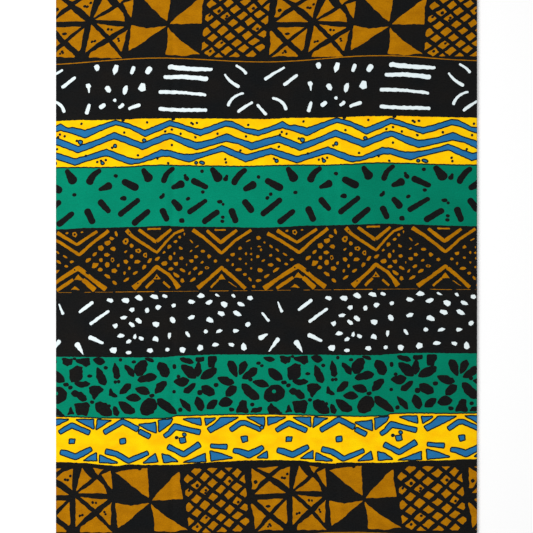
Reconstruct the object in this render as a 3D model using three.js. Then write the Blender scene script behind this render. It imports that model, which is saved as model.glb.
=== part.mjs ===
// A yard of 45 inch printed cotton cloth, folded in half along its length and laid flat.
// The fold lies on the right (+X), the two selvedges lie together on the left (-X), and the
// two cut ends face +Y and -Y. Millimetres, +Z up, the origin under the middle of the cloth.
import * as THREE from "three";

// Driving dimensions of the cloth.
const CLOTH_WIDTH = 1143; // selvedge to selvedge, 45 inches
const CLOTH_LENGTH = 914.4; // one yard off the roll
const WALL = 1.0; // thickness of one layer
const LAYER_GAP = 0.3; // least air between the two layers

// How the cloth turns at the fold, and how it rolls down towards it.
const TURN_RADIUS = 1.3; // middle of the wall, at the tight turn
const TURN_STEPS = 6;
const TURN_RETURN = 8; // how far the upper piece runs back under itself
const CREST_LIFT = 2.3; // the soft roll beside the fold, above the lie of the cloth
const CREST_DISTANCE = 20; // from the turn to the top of that roll
const ROLL_WIDTH = 62; // from the turn to where the roll has died away

// How the upper layer lies on the lower one.
const EASE = 1.2; // air that the upper layer keeps between its creases
const SETTLE_WIDTH = 46; // margin over which it comes down at its free edges
const CUT_WANDER = 0.8; // how far the cut ends wander inwards

const UNDER_INSET = 1.6; // how far the lower layer stays behind the edges above it
const UNDER_SKEW = 1.4; // what its far corner lags by besides

// Derived places.
const RIGHT = CLOTH_WIDTH / 4;
const LEFT = -RIGHT;
const HALF_LENGTH = CLOTH_LENGTH / 2;
const TURN_X = RIGHT - TURN_RADIUS - WALL / 2;
const UNDER_MIDDLE = WALL / 2;
const UPPER_MIDDLE = UNDER_MIDDLE + WALL + LAYER_GAP;
const TURN_LIFT = UNDER_MIDDLE + 2 * TURN_RADIUS - UPPER_MIDDLE;

// Creases left by earlier folding. One that runs "along" the cloth stands at an x, one that
// runs "across" it at a y. rise is a ridge's height or, below 0, a trough's depth; before and
// after are its half-widths; sway is how far it wanders; fade says how much of its rise is
// lost half way along; sharp ones come to a pressed line.
const CREASES = [
  { runs: "along", at: -127, rise: -1.1, before: 8, after: 7, sway: 1.0, fade: 0.15, sharp: false },
  { runs: "along", at: 76, rise: -0.8, before: 13, after: 8, sway: 1.5, fade: 0.3, sharp: false },
  { runs: "along", at: 100, rise: 1.5, before: 9, after: 78, sway: 0.8, fade: 0.1, sharp: true },
  { runs: "across", at: -190, rise: -1.0, before: 9, after: 14, sway: 2.5, fade: 0.6, sharp: false },
  { runs: "across", at: 237, rise: -0.7, before: 10, after: 12, sway: 3.0, fade: 0.4, sharp: false },
];

// Broad, shallow undulations of the upper layer.
const WAVES = [
  { height: 0.35, across_mm: 330, along_mm: 610, phase: 0.6 },
  { height: 0.25, across_mm: -190, along_mm: 340, phase: 2.1 },
  { height: 0.15, across_mm: 120, along_mm: -230, phase: 4.0 },
];

const SWAY_LENGTH = 420; // length over which a crease wanders once
const COLUMN_STEP = 26; // plain spacing of the sections' points
const ROW_STEP = 62; // plain spacing of the sections
const CREASE_SHARES = [-1, -0.55, -0.2, 0, 0.2, 0.55, 1]; // where a crease gets points
const CLOSEST_SHARE = 1 / 9; // least spacing of points, as a share of the plain one
const SLOPE_REACH = 0.5; // how far to each side a slope is read

// How the lower half's cut ends wander.
const UNDER_STEPS = 10;
const UNDER_WANDER = 0.4;
const UNDER_NEAR_LENGTH = 40; // the wander's length over one radian at each end
const UNDER_FAR_LENGTH = 55;

// How the upper half's cut ends wander.
const CUT_LENGTH = 190;
const CUT_PHASE = 1.2;
const EDGE_WAVE_SHARE = 0.4; // how much of the undulations a free edge keeps

const clamp01 = (t) => Math.min(1, Math.max(0, t));
const smooth = (t) => clamp01(t) ** 2 * (3 - 2 * clamp01(t));

/** Height of one crease at a place on the cloth. */
function creaseHeight(crease, x, y) {
  const [over, run, halfRun] = crease.runs === "along" ? [x, y, HALF_LENGTH] : [y, x, RIGHT];
  const wander = crease.sway * Math.sin((2 * Math.PI * run) / SWAY_LENGTH + crease.at);
  const off = over - crease.at - wander;
  const near = clamp01(1 - Math.abs(off) / (off < 0 ? crease.before : crease.after));
  const left = 1 - crease.fade * Math.cos((Math.PI * run) / (2 * halfRun));
  return crease.rise * left * (crease.sharp ? near ** 2 : smooth(near));
}

/** Height of the roll beside the fold, at a distance from the turn. */
function rollHeight(distance) {
  if (distance < CREST_DISTANCE) {
    return CREST_LIFT - (CREST_LIFT - TURN_LIFT) * (1 - distance / CREST_DISTANCE) ** 2;
  }
  return CREST_LIFT * (1 - smooth((distance - CREST_DISTANCE) / (ROLL_WIDTH - CREST_DISTANCE)));
}

/** How far the upper layer stands above where it would touch the lower one. */
function relief(x, y) {
  const fromTurn = Math.max(0, TURN_X - x);
  const awayFromTurn = smooth(fromTurn / ROLL_WIDTH);
  const fromEdge = Math.min(x - LEFT, HALF_LENGTH - Math.abs(y));
  const inside = smooth(fromEdge / SETTLE_WIDTH);
  let waves = 0;
  for (const wave of WAVES) {
    const turn = 2 * Math.PI * (x / wave.across_mm + y / wave.along_mm);
    waves += wave.height * (1 + Math.sin(turn + wave.phase));
  }
  let creases = 0;
  for (const crease of CREASES) creases += creaseHeight(crease, x, y);
  const share = EDGE_WAVE_SHARE + (1 - EDGE_WAVE_SHARE) * inside;
  const lie = Math.max(0, EASE * inside + waves * share + creases);
  return lie * awayFromTurn + rollHeight(fromTurn);
}

/** How far a cut end of the upper half stands back from its straight line. */
function cutBack(x) {
  return (CUT_WANDER / 2) * (1 + Math.sin((2 * Math.PI * x) / CUT_LENGTH + CUT_PHASE));
}

/** Places from low to high at about a step apart, closer over each crease that stands there. */
function stations(low, high, step, runs) {
  const count = Math.round((high - low) / step);
  const found = Array.from({ length: count + 1 }, (_, i) => low + ((high - low) * i) / count);
  for (const crease of CREASES.filter((c) => c.runs === runs)) {
    for (const share of CREASE_SHARES) {
      found.push(crease.at + share * (share < 0 ? crease.before : crease.after));
    }
  }
  const sorted = found.filter((p) => p >= low && p <= high).sort((a, b) => a - b);
  const apart = step * CLOSEST_SHARE;
  return sorted.filter((p, i) => i === 0 || p === high || (p - sorted[i - 1] > apart && high - p > apart));
}

/** The middle line of the upper layer at one y, from the left edge round the turn, with normals. */
function upperSection(y, columns) {
  const line = columns.map((x) => {
    const rise = relief(Math.min(x + SLOPE_REACH, TURN_X), y) - relief(x - SLOPE_REACH, y);
    const slope = rise / (2 * SLOPE_REACH);
    const long = Math.hypot(1, slope);
    return { x, z: UPPER_MIDDLE + relief(x, y), nx: -slope / long, nz: 1 / long };
  });
  for (let i = 1; i <= TURN_STEPS; i++) {
    const turned = (Math.PI * i) / TURN_STEPS;
    const [nx, nz] = [Math.sin(turned), Math.cos(turned)];
    const z = UNDER_MIDDLE + TURN_RADIUS * (1 + nz);
    line.push({ x: TURN_X + TURN_RADIUS * nx, z, nx, nz });
  }
  line.push({ x: TURN_X - TURN_RETURN, z: UNDER_MIDDLE, nx: 0, nz: -1 });
  return line;
}

/** A closed wall lofted through sections, each a middle line with normals at one y. */
function loftedWall(rows, columns) {
  const places = [];
  let perSection = 0;
  for (const y of rows) {
    const line = upperSection(y, columns);
    const faces = [
      ...line.map((p) => ({ p, side: 1 })),
      ...line.map((p) => ({ p, side: -1 })).reverse(),
    ];
    perSection = faces.length;
    for (const { p, side } of faces) {
      const back = cutBack(p.x) * smooth((Math.abs(y) - HALF_LENGTH + ROW_STEP) / ROW_STEP);
      const reach = (side * WALL) / 2;
      places.push(p.x + reach * p.nx, y - Math.sign(y) * back, p.z + reach * p.nz);
    }
  }
  const index = [];
  const quad = (a, b, c, d) => index.push(a, b, c, a, c, d);
  for (let r = 0; r + 1 < rows.length; r++) {
    for (let i = 0; i < perSection; i++) {
      const next = (i + 1) % perSection;
      const [here, there] = [r * perSection, (r + 1) * perSection];
      quad(here + i, here + next, there + next, there + i);
    }
  }
  const lastRow = (rows.length - 1) * perSection;
  for (let i = 0; i + 1 < perSection / 2; i++) {
    const across = perSection - 1 - i;
    quad(i, across, across - 1, i + 1);
    quad(lastRow + i, lastRow + i + 1, lastRow + across - 1, lastRow + across);
  }
  const geometry = new THREE.BufferGeometry();
  geometry.setAttribute("position", new THREE.Float32BufferAttribute(places, 3));
  geometry.setIndex(index);
  return geometry;
}

/** The upper half of the cloth, with its creases, the roll beside the fold, and the turn. */
function upperHalf() {
  const columns = stations(LEFT, TURN_X, COLUMN_STEP, "along");
  const nearTurn = [CREST_DISTANCE / 3, CREST_DISTANCE, 2 * CREST_DISTANCE].map((d) => TURN_X - d);
  const withRoll = [...columns, ...nearTurn].sort((a, b) => a - b);
  return loftedWall(stations(-HALF_LENGTH, HALF_LENGTH, ROW_STEP, "across"), withRoll);
}

/** The lower half, flat on its underside, a little behind the edges of the half above. */
function underHalf() {
  const right = TURN_X - TURN_RETURN - LAYER_GAP;
  const left = LEFT + UNDER_INSET;
  const end = HALF_LENGTH - CUT_WANDER - UNDER_INSET;
  const outline = [];
  for (let i = 0; i <= UNDER_STEPS; i++) {
    const share = i / UNDER_STEPS;
    const x = left + (right - left) * share;
    const wander = UNDER_WANDER * Math.cos(x / UNDER_NEAR_LENGTH);
    outline.push(new THREE.Vector2(x, -end + UNDER_SKEW * share - wander));
  }
  for (let i = UNDER_STEPS; i >= 0; i--) {
    const share = i / UNDER_STEPS;
    const x = left + (right - left) * share;
    const wander = UNDER_WANDER * Math.cos(x / UNDER_FAR_LENGTH);
    outline.push(new THREE.Vector2(x, end - UNDER_SKEW * (1 - share) + wander));
  }
  return new THREE.ExtrudeGeometry(new THREE.Shape(outline), { depth: WALL, bevelEnabled: false });
}

/** Printed cotton: the colour is the print's own average. */
function printedCotton() {
  return new THREE.MeshStandardMaterial({ color: 0x746f4a, roughness: 0.78, metalness: 0 });
}

/** One named piece of the cloth. */
function piece(name, geometry) {
  const mesh = new THREE.Mesh(geometry, printedCotton());
  mesh.name = name;
  return mesh;
}

const cloth = new THREE.Group();
cloth.name = "folded_cloth";
cloth.add(piece("upper_half_with_fold", upperHalf()));
cloth.add(piece("under_half", underHalf()));

export default cloth;
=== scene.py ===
import logging
import math
from abc import ABC, abstractmethod
from dataclasses import dataclass
from enum import Enum
from random import Random
from typing import ClassVar, Sequence

import bpy
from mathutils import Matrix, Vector
from mathutils.geometry import delaunay_2d_cdt


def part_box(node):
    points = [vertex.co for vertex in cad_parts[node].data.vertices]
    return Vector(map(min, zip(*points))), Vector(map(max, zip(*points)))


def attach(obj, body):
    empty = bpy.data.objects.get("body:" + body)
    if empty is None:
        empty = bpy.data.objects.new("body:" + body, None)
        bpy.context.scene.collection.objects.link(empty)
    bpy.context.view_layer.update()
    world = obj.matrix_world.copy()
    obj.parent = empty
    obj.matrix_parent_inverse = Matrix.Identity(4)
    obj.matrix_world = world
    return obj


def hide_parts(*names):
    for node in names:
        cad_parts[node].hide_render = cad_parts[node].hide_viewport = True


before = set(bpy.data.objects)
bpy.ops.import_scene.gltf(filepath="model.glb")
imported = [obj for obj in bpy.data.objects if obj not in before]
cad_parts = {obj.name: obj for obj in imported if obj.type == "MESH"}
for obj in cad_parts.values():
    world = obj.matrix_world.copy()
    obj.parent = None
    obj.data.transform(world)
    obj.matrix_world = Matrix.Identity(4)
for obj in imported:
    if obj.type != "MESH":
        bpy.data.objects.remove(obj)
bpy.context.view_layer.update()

MM = 0.001
UNIT_LEFT = -225.8  # where the main unit of the print begins, from the middle of the cloth
FIRST_TOP = 381.0  # level of the highest whole band of blocks, from the middle of the cloth
REPEAT_DRIFT = -26.5  # how far each repeat down the cloth has moved sideways
REPEAT_NARROWING = 8.1  # how much less wide a unit prints in each repeat down the cloth
PRINT_SKEW = 0.0105  # how much the bands rise for each millimetre to the right
PHOTO_PIXELS = 533  # the photo's width
PIXEL_SIZE = 1.356  # what one of its pixels takes in at the cloth
PHOTO_SIDE = PHOTO_PIXELS * PIXEL_SIZE * MM

Point = tuple[float, float]
Node = tuple[float, float, float]  # a point of a strip: x, down and the strip's width there
Stretch = tuple[float, float, float]  # where a stretch of line starts and ends, and its width
log = logging.getLogger("folded_cloth")


class Ink(Enum):
    """The colours that the cloth is printed in, in the order of its material slots."""

    BLACK = 0
    GREEN = 1
    YELLOW = 2
    OCHRE = 3
    BLUE = 4
    WHITE = 5
    KEYLINE = 6


@dataclass
class Hand:
    """The unsteady hand that cut the print's blocks: every draw comes from one seed."""

    seed: int
    wobble: float = 0.4  # how far a cut edge strays
    step: float = 3.0  # how far apart the points of a cut edge are
    spread: float = 0.0  # how far a printed mark runs out past its cut edge

    CARRY: ClassVar[float] = 0.35  # the share of one point's stray that the next one keeps

    def __post_init__(self) -> None:
        """Start the random draws."""
        self.draw = Random(self.seed)

    def stray(self, most: float) -> float:
        """Return a distance between -most and most."""
        return self.draw.uniform(-most, most)

    def edge(self, start: Point, end: Point) -> list[Point]:
        """Cut along a straight edge.

        Args:
            start: Where the edge begins.
            end: Where it ends, which is left for the next edge.

        Returns:
            The points of the cut, from start on.
        """
        dx, dy = end[0] - start[0], end[1] - start[1]
        long = math.hypot(dx, dy)
        count = max(1, round(long / self.step))
        nx, ny = (-dy / long, dx / long) if long else (0.0, 0.0)
        points = []
        stray = 0.0
        for i in range(count):
            share = i / count
            stray = self.CARRY * stray + self.stray(self.wobble)
            points.append((start[0] + dx * share + nx * stray, start[1] + dy * share + ny * stray))
        return points


def smooth(t: float) -> float:
    """Return a soft step from 0 to 1 as t goes from 0 to 1."""
    t = min(1.0, max(0.0, t))
    return t * t * (3 - 2 * t)


def part_way(a: Sequence[float], b: Sequence[float], t: float) -> tuple[float, ...]:
    """Return what lies a share t of the way from a to b."""
    return tuple(p + (q - p) * t for p, q in zip(a, b))


def sides(corners: Sequence) -> list[tuple]:
    """Return the two ends of each side of a closed shape, given by its corners or their numbers."""
    return list(zip(corners, [*corners[1:], *corners[:1]]))


def side_of(p: Point, q: Point, r: Point) -> float:
    """Return which side of the line from p to q a place r lies on, by its sign."""
    return (q[0] - p[0]) * (r[1] - p[1]) - (q[1] - p[1]) * (r[0] - p[0])


def area_of(corners: Sequence[Point]) -> float:
    """Return a shape's area, above 0 where its corners run from +x towards its second axis."""
    return sum(a[0] * b[1] - b[0] * a[1] for a, b in sides(corners)) / 2


def one_way(corners: Sequence[Point]) -> tuple[Point, ...]:
    """Return the same corners, in the order that gives them an area above 0."""
    return tuple(corners) if area_of(corners) > 0 else tuple(reversed(corners))


def crossing(a: Point, b: Point, c: Point, d: Point) -> bool:
    """Tell whether two lines meet.

    Args:
        a: One end of the first line.
        b: Its other end.
        c: One end of the second line.
        d: Its other end.

    Returns:
        Whether the first line crosses or touches the second.
    """
    if side_of(a, b, c) * side_of(a, b, d) > 0:
        return False
    return side_of(c, d, a) * side_of(c, d, b) <= 0


def without_spurs(outline: Sequence[Point], closest: float = 0.25, sharpest: float = 14.0) -> list[Point]:
    """Drop an outline's doubled points and the places where it turns back on itself.

    Args:
        outline: The outline's points.
        closest: How near two of them may be.
        sharpest: The narrowest corner that stays, in degrees.

    Returns:
        The points that are left.
    """
    points = list(outline)
    least = math.cos(math.radians(sharpest))
    i = 0
    while i < len(points) and len(points) > 3:
        (ax, ay), (x, y), (bx, by) = points[i - 1], points[i], points[(i + 1) % len(points)]
        before, after = math.hypot(ax - x, ay - y), math.hypot(bx - x, by - y)
        along = (ax - x) * (bx - x) + (ay - y) * (by - y)
        if before < closest or along > least * before * after:
            del points[i]
            i = max(0, i - 2)
        else:
            i += 1
    return points


def first_loop(points: Sequence[Point]) -> set[int]:
    """Find where an outline crosses itself.

    Args:
        points: The outline's points.

    Returns:
        Which points lie in the smaller part that its first crossing cuts off, or none.
    """
    count = len(points)
    for i in range(count - 2):
        for j in range(i + 2, count - (i == 0)):
            if crossing(points[i], points[i + 1], points[j], points[(j + 1) % count]):
                loop = set(range(i + 1, j + 1))
                return loop if 2 * len(loop) <= count else set(range(count)) - loop
    return set()


def untangled(outline: Sequence[Point]) -> list[Point]:
    """Drop an outline's spurs and the small loops where it crosses itself.

    Args:
        outline: The outline's points.

    Returns:
        A simple outline.
    """
    points = without_spurs(outline)
    loop = first_loop(points)
    while loop and len(points) > 3:
        points = without_spurs([p for k, p in enumerate(points) if k not in loop])
        loop = first_loop(points)
    return points


CORNER_SHARE = 0.24  # how far along each side, from a corner, its rounding reaches


def rounded(outline: Sequence[Point], longest: float = 1.5) -> list[Point]:
    """Round off an outline's corners.

    Args:
        outline: The outline's points.
        longest: The longest side that is taken by its middle alone.

    Returns:
        The points of a softer outline, one or two on each side of the first.
    """
    points = []
    for a, b in sides(outline):
        shares = (0.5,) if math.dist(a, b) < longest else (CORNER_SHARE, 1 - CORNER_SHARE)
        points += [part_way(a, b, share) for share in shares]
    return points


def with_middles(outline: Sequence[Point]) -> list[Point]:
    """Return an outline with a point half way along each side, which keeps its corners sharper."""
    return [point for a, b in sides(outline) for point in (a, part_way(a, b, 0.5))]


def drawn_in(outline: Sequence[Point], distance: float) -> list[Point]:
    """Move each point of an outline inwards.

    Args:
        outline: The outline's points.
        distance: About how far they move.

    Returns:
        The smaller outline.
    """
    inward = distance if area_of(outline) > 0 else -distance
    moved = []
    for i, (x, y) in enumerate(outline):
        before, after = outline[i - 1], outline[(i + 1) % len(outline)]
        dx, dy = after[0] - before[0], after[1] - before[1]
        long = math.hypot(dx, dy) or 1.0
        moved.append((x - dy / long * inward, y + dx / long * inward))
    return moved


def clipped(corners: list[Point], region: Sequence[Point]) -> list[Point]:
    """Cut a convex shape down to a convex region.

    Args:
        corners: The shape's corners.
        region: The region's corners, in the order that gives them an area above 0.

    Returns:
        The corners of what lies in both.
    """
    for a, b in sides(region):
        kept: list[Point] = []
        for p, q in sides(corners):
            at_p, at_q = side_of(a, b, p), side_of(a, b, q)
            if at_p >= 0:
                kept.append(p)
            if at_p * at_q < 0:
                kept.append(part_way(p, q, at_p / (at_p - at_q)))
        corners = kept
    return corners


CAP_BULGE = 0.8  # how far a stroke's rounded end stands out, over half of its width
CAP_TURNS = (45.0, 90.0, 135.0)  # where it has its points, in degrees


def end_cap(start: Point, end: Point) -> list[Point]:
    """Round off the end of a stroke.

    Args:
        start: The corner that the stroke's outline comes from.
        end: The corner that it goes on from.

    Returns:
        The points of the rounded end between them.
    """
    mx, my = (start[0] + end[0]) / 2, (start[1] + end[1]) / 2
    hx, hy = (start[0] - end[0]) / 2, (start[1] - end[1]) / 2
    out = (hy * CAP_BULGE, -hx * CAP_BULGE)
    points = []
    for turned in CAP_TURNS:
        c, s = math.cos(math.radians(turned)), math.sin(math.radians(turned))
        points.append((mx + hx * c + out[0] * s, my + hy * c + out[1] * s))
    return points


STRIP_WOBBLE = 0.6  # the share of a hand's wobble that a strip's edges have


def thickened(nodes: Sequence[Node], hand: Hand, round_ends: bool) -> list[Point]:
    """Give a line a width that changes along it.

    Args:
        nodes: The line's points, each with its width.
        hand: Cuts the edges.
        round_ends: Whether the ends are rounded.

    Returns:
        The outline, round the line once.
    """
    left: list[Point] = []
    right: list[Point] = []
    for i, (x, y, wide) in enumerate(nodes):
        before, after = nodes[max(0, i - 1)], nodes[min(len(nodes) - 1, i + 1)]
        dx, dy = after[0] - before[0], after[1] - before[1]
        long = math.hypot(dx, dy)
        nx, ny = -dy / long, dx / long
        near = wide / 2 + hand.stray(hand.wobble * STRIP_WOBBLE)
        far = wide / 2 + hand.stray(hand.wobble * STRIP_WOBBLE)
        left.append((x + nx * near, y + ny * near))
        right.append((x - nx * far, y - ny * far))
    if not round_ends:
        return left + right[::-1]
    return left + end_cap(left[-1], right[-1]) + right[::-1] + end_cap(right[0], left[0])


@dataclass(frozen=True)
class Stroke:
    """A hand-cut dash between the middles of its rounded ends, with a width at each end.

    A bow above 0 lifts its middle to the left of the way it runs, as printed.
    """

    x0: float
    down0: float
    x1: float
    down1: float
    wide0: float
    wide1: float
    bow: float = 0.0

    STRIDE: ClassVar[float] = 0.8  # how far apart its points are, over the hand's step
    FEWEST: ClassVar[int] = 3  # the least number of steps along it

    def outline(self, hand: Hand) -> list[Point]:
        """Cut the dash.

        Args:
            hand: Cuts it.

        Returns:
            The dash's outline.
        """
        dx, dy = self.x1 - self.x0, self.down1 - self.down0
        long = math.hypot(dx, dy)
        count = max(self.FEWEST, round(long / (hand.step * self.STRIDE)))
        nodes = []
        for i in range(count + 1):
            t = i / count
            lift = self.bow * 4 * t * (1 - t) / long
            wide = self.wide0 + (self.wide1 - self.wide0) * t
            nodes.append((self.x0 + dx * t + dy * lift, self.down0 + dy * t - dx * lift, wide))
        return thickened(nodes, hand, round_ends=True)


@dataclass(frozen=True)
class Trail:
    """A strip with straight stretches between nodes, its ends cut off square.

    A node is an x, how far down it lies, and the strip's width there.
    """

    nodes: tuple[Node, ...]

    def outline(self, hand: Hand) -> list[Point]:
        """Cut the strip.

        Args:
            hand: Cuts it.

        Returns:
            The strip's outline.
        """
        line = []
        for start, end in zip(self.nodes, self.nodes[1:]):
            count = max(1, round(math.dist(start[:2], end[:2]) / hand.step))
            line += [part_way(start, end, i / count) for i in range(count)]
        return thickened([*line, self.nodes[-1]], hand, round_ends=False)


@dataclass(frozen=True)
class Blob:
    """A pebble, dot or speck: a rounded patch with a size each way, round if it has but one.

    One with a few corners is a chip instead, with flat sides between them.
    """

    x: float
    down: float
    long: float
    wide: float = 0.0
    turn: float = 0.0
    ragged: float = 0.12
    corners: int = 0

    LOBES: ClassVar[tuple[int, ...]] = (2, 3, 4)  # how often each of its bulges comes round
    FEWEST: ClassVar[int] = 7
    MOST: ClassVar[int] = 14
    POINTS_PER_MM: ClassVar[float] = 2.0

    def outline(self, hand: Hand) -> list[Point]:
        """Cut the patch.

        Args:
            hand: Cuts it.

        Returns:
            The patch's outline.
        """
        wide = self.wide or self.long
        plain = round(self.POINTS_PER_MM * max(self.long, wide))
        count = self.corners or max(self.FEWEST, min(self.MOST, plain))
        lobes = [(k, hand.stray(self.ragged), hand.draw.uniform(0, math.tau)) for k in self.LOBES]
        c, s = math.cos(math.radians(self.turn)), math.sin(math.radians(self.turn))
        points = []
        for i in range(count):
            a = math.tau * i / count
            reach = 1 + sum(size * math.cos(k * a + phase) for k, size, phase in lobes)
            px, py = self.long / 2 * reach * math.cos(a), wide / 2 * reach * math.sin(a)
            points.append((self.x + px * c - py * s, self.down + px * s + py * c))
        return with_middles(points) if self.corners else points


@dataclass(frozen=True)
class Petal:
    """A petal from its base to its tip, widest at a share of the way, with pointed or blunt ends."""

    x0: float
    down0: float
    x1: float
    down1: float
    wide: float
    fullest: float = 0.55
    blunt: bool = False

    # The lower the fullness, the blunter the ends.
    BLUNT_FULLNESS: ClassVar[float] = 0.36
    POINTED_FULLNESS: ClassVar[float] = 0.56
    BEND: ClassVar[float] = 0.06  # how far its middle may stray, over its length
    STRIDE: ClassVar[float] = 3.9  # how far apart its points are
    FEWEST: ClassVar[int] = 4

    def outline(self, hand: Hand) -> list[Point]:
        """Cut the petal.

        Args:
            hand: Cuts it.

        Returns:
            The petal's outline.
        """
        long = math.hypot(self.x1 - self.x0, self.down1 - self.down0)
        c, s = (self.x1 - self.x0) / long, (self.down1 - self.down0) / long
        power = math.log(0.5) / math.log(self.fullest)
        fullness = self.BLUNT_FULLNESS if self.blunt else self.POINTED_FULLNESS
        bend = hand.stray(self.BEND) * long
        count = max(self.FEWEST, round(long / self.STRIDE))
        near, far = [], []
        for i in range(count + 1):
            t = i / count
            rise = max(0.0, math.sin(math.pi * t**power))
            half = self.wide / 2 * rise**fullness
            for side, kept in ((1, near), (-1, far)):
                px = t * long
                py = bend * rise + side * (half + hand.stray(hand.wobble) * rise)
                px += hand.stray(hand.wobble) * rise
                kept.append((self.x0 + px * c - py * s, self.down0 + px * s + py * c))
        return with_middles(near + far[-2:0:-1])


@dataclass(frozen=True)
class CutShape:
    """A shape with straight sides, cut a little unevenly, its corners slightly blunt."""

    corners: tuple[Point, ...]

    SHORTEST: ClassVar[float] = 1.4  # a side shorter than this is left out
    BLUNTING: ClassVar[float] = 0.3  # how much of each end of a side the blunt corner takes
    MOST_BLUNT: ClassVar[float] = 0.25  # and what share of the side at most

    def outline(self, hand: Hand) -> list[Point]:
        """Cut the shape.

        Args:
            hand: Cuts it.

        Returns:
            The shape's outline.
        """
        points: list[Point] = []
        last = [self.corners[-1], *self.corners]
        corners = [c for c, before in zip(self.corners, last) if math.dist(c, before) > self.SHORTEST]
        for start, end in sides(corners):
            dx, dy = end[0] - start[0], end[1] - start[1]
            blunt = min(self.MOST_BLUNT, self.BLUNTING / math.hypot(dx, dy))
            begin = (start[0] + dx * blunt, start[1] + dy * blunt)
            finish = (end[0] - dx * blunt, end[1] - dy * blunt)
            points += hand.edge(begin, finish)
            points.append(finish)
        return points


Shape = Stroke | Trail | Blob | Petal | CutShape


def between(*rows: tuple[float, ...]) -> tuple[Stroke, ...]:
    """Set out dashes by the places that their tips reach.

    Args:
        rows: For each, x and down of one tip and of the other, the width at each, and any bow.

    Returns:
        The dashes.
    """
    dashes = []
    for x0, down0, x1, down1, wide0, wide1, *bow in rows:
        dx, dy = x1 - x0, down1 - down0
        near, far = (CAP_BULGE * wide / 2 / math.hypot(dx, dy) for wide in (wide0, wide1))
        tips = (x0 + dx * near, down0 + dy * near, x1 - dx * far, down1 - dy * far)
        dashes.append(Stroke(*tips, wide0, wide1, *bow))
    return tuple(dashes)


def strokes(*rows: tuple[float, ...]) -> tuple[Stroke, ...]:
    """Return dashes from rows of x and down at each end, the widths there, and any bow."""
    return tuple(Stroke(*row) for row in rows)


def blobs(*rows: tuple[float, ...]) -> tuple[Blob, ...]:
    """Return patches from rows of x, down, length, and any width and turn."""
    return tuple(Blob(*row) for row in rows)


CHIP_SWELL = 1.04  # makes up for what flat sides take off
CHIP_RAGGED = 0.15
CHIP_CORNERS = (5, 6, 7)  # in turn


def chips(*rows: tuple[float, ...]) -> tuple[Blob, ...]:
    """Set out patches with five to seven corners.

    Args:
        rows: For each, x and down of its middle, its length, and any width and turn.

    Returns:
        The patches.
    """
    found = []
    for i, (x, down, long, *rest) in enumerate(rows):
        wide, turn = (*rest, 0.0, 0.0)[:2]
        size = (long * CHIP_SWELL, (wide or long) * CHIP_SWELL)
        corners = CHIP_CORNERS[i % len(CHIP_CORNERS)]
        found.append(Blob(x, down, *size, turn, ragged=CHIP_RAGGED, corners=corners))
    return tuple(found)


def petals(*rows: tuple[float, ...], blunt: bool = False) -> tuple[Petal, ...]:
    """Return petals from rows of x and down at base and tip, width, and where it is fullest."""
    return tuple(Petal(*row, blunt=blunt) for row in rows)


def trails(*strips: tuple[Node, ...]) -> tuple[Trail, ...]:
    """Return strips from their nodes."""
    return tuple(Trail(nodes) for nodes in strips)


def cuts(*shapes: tuple[Point, ...]) -> tuple[CutShape, ...]:
    """Return straight-sided shapes from their corners."""
    return tuple(CutShape(one_way(corners)) for corners in shapes)


@dataclass(frozen=True)
class Printed:
    """One patch of ink: what lies later in the print lies on top."""

    ink: Ink
    outline: tuple[Point, ...]

    def placed(self, x: float, stretch: float = 1.0) -> "Printed":
        """Return the same patch stretched sideways and then moved to the right."""
        return Printed(self.ink, tuple((px * stretch + x, down) for px, down in self.outline))


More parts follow.
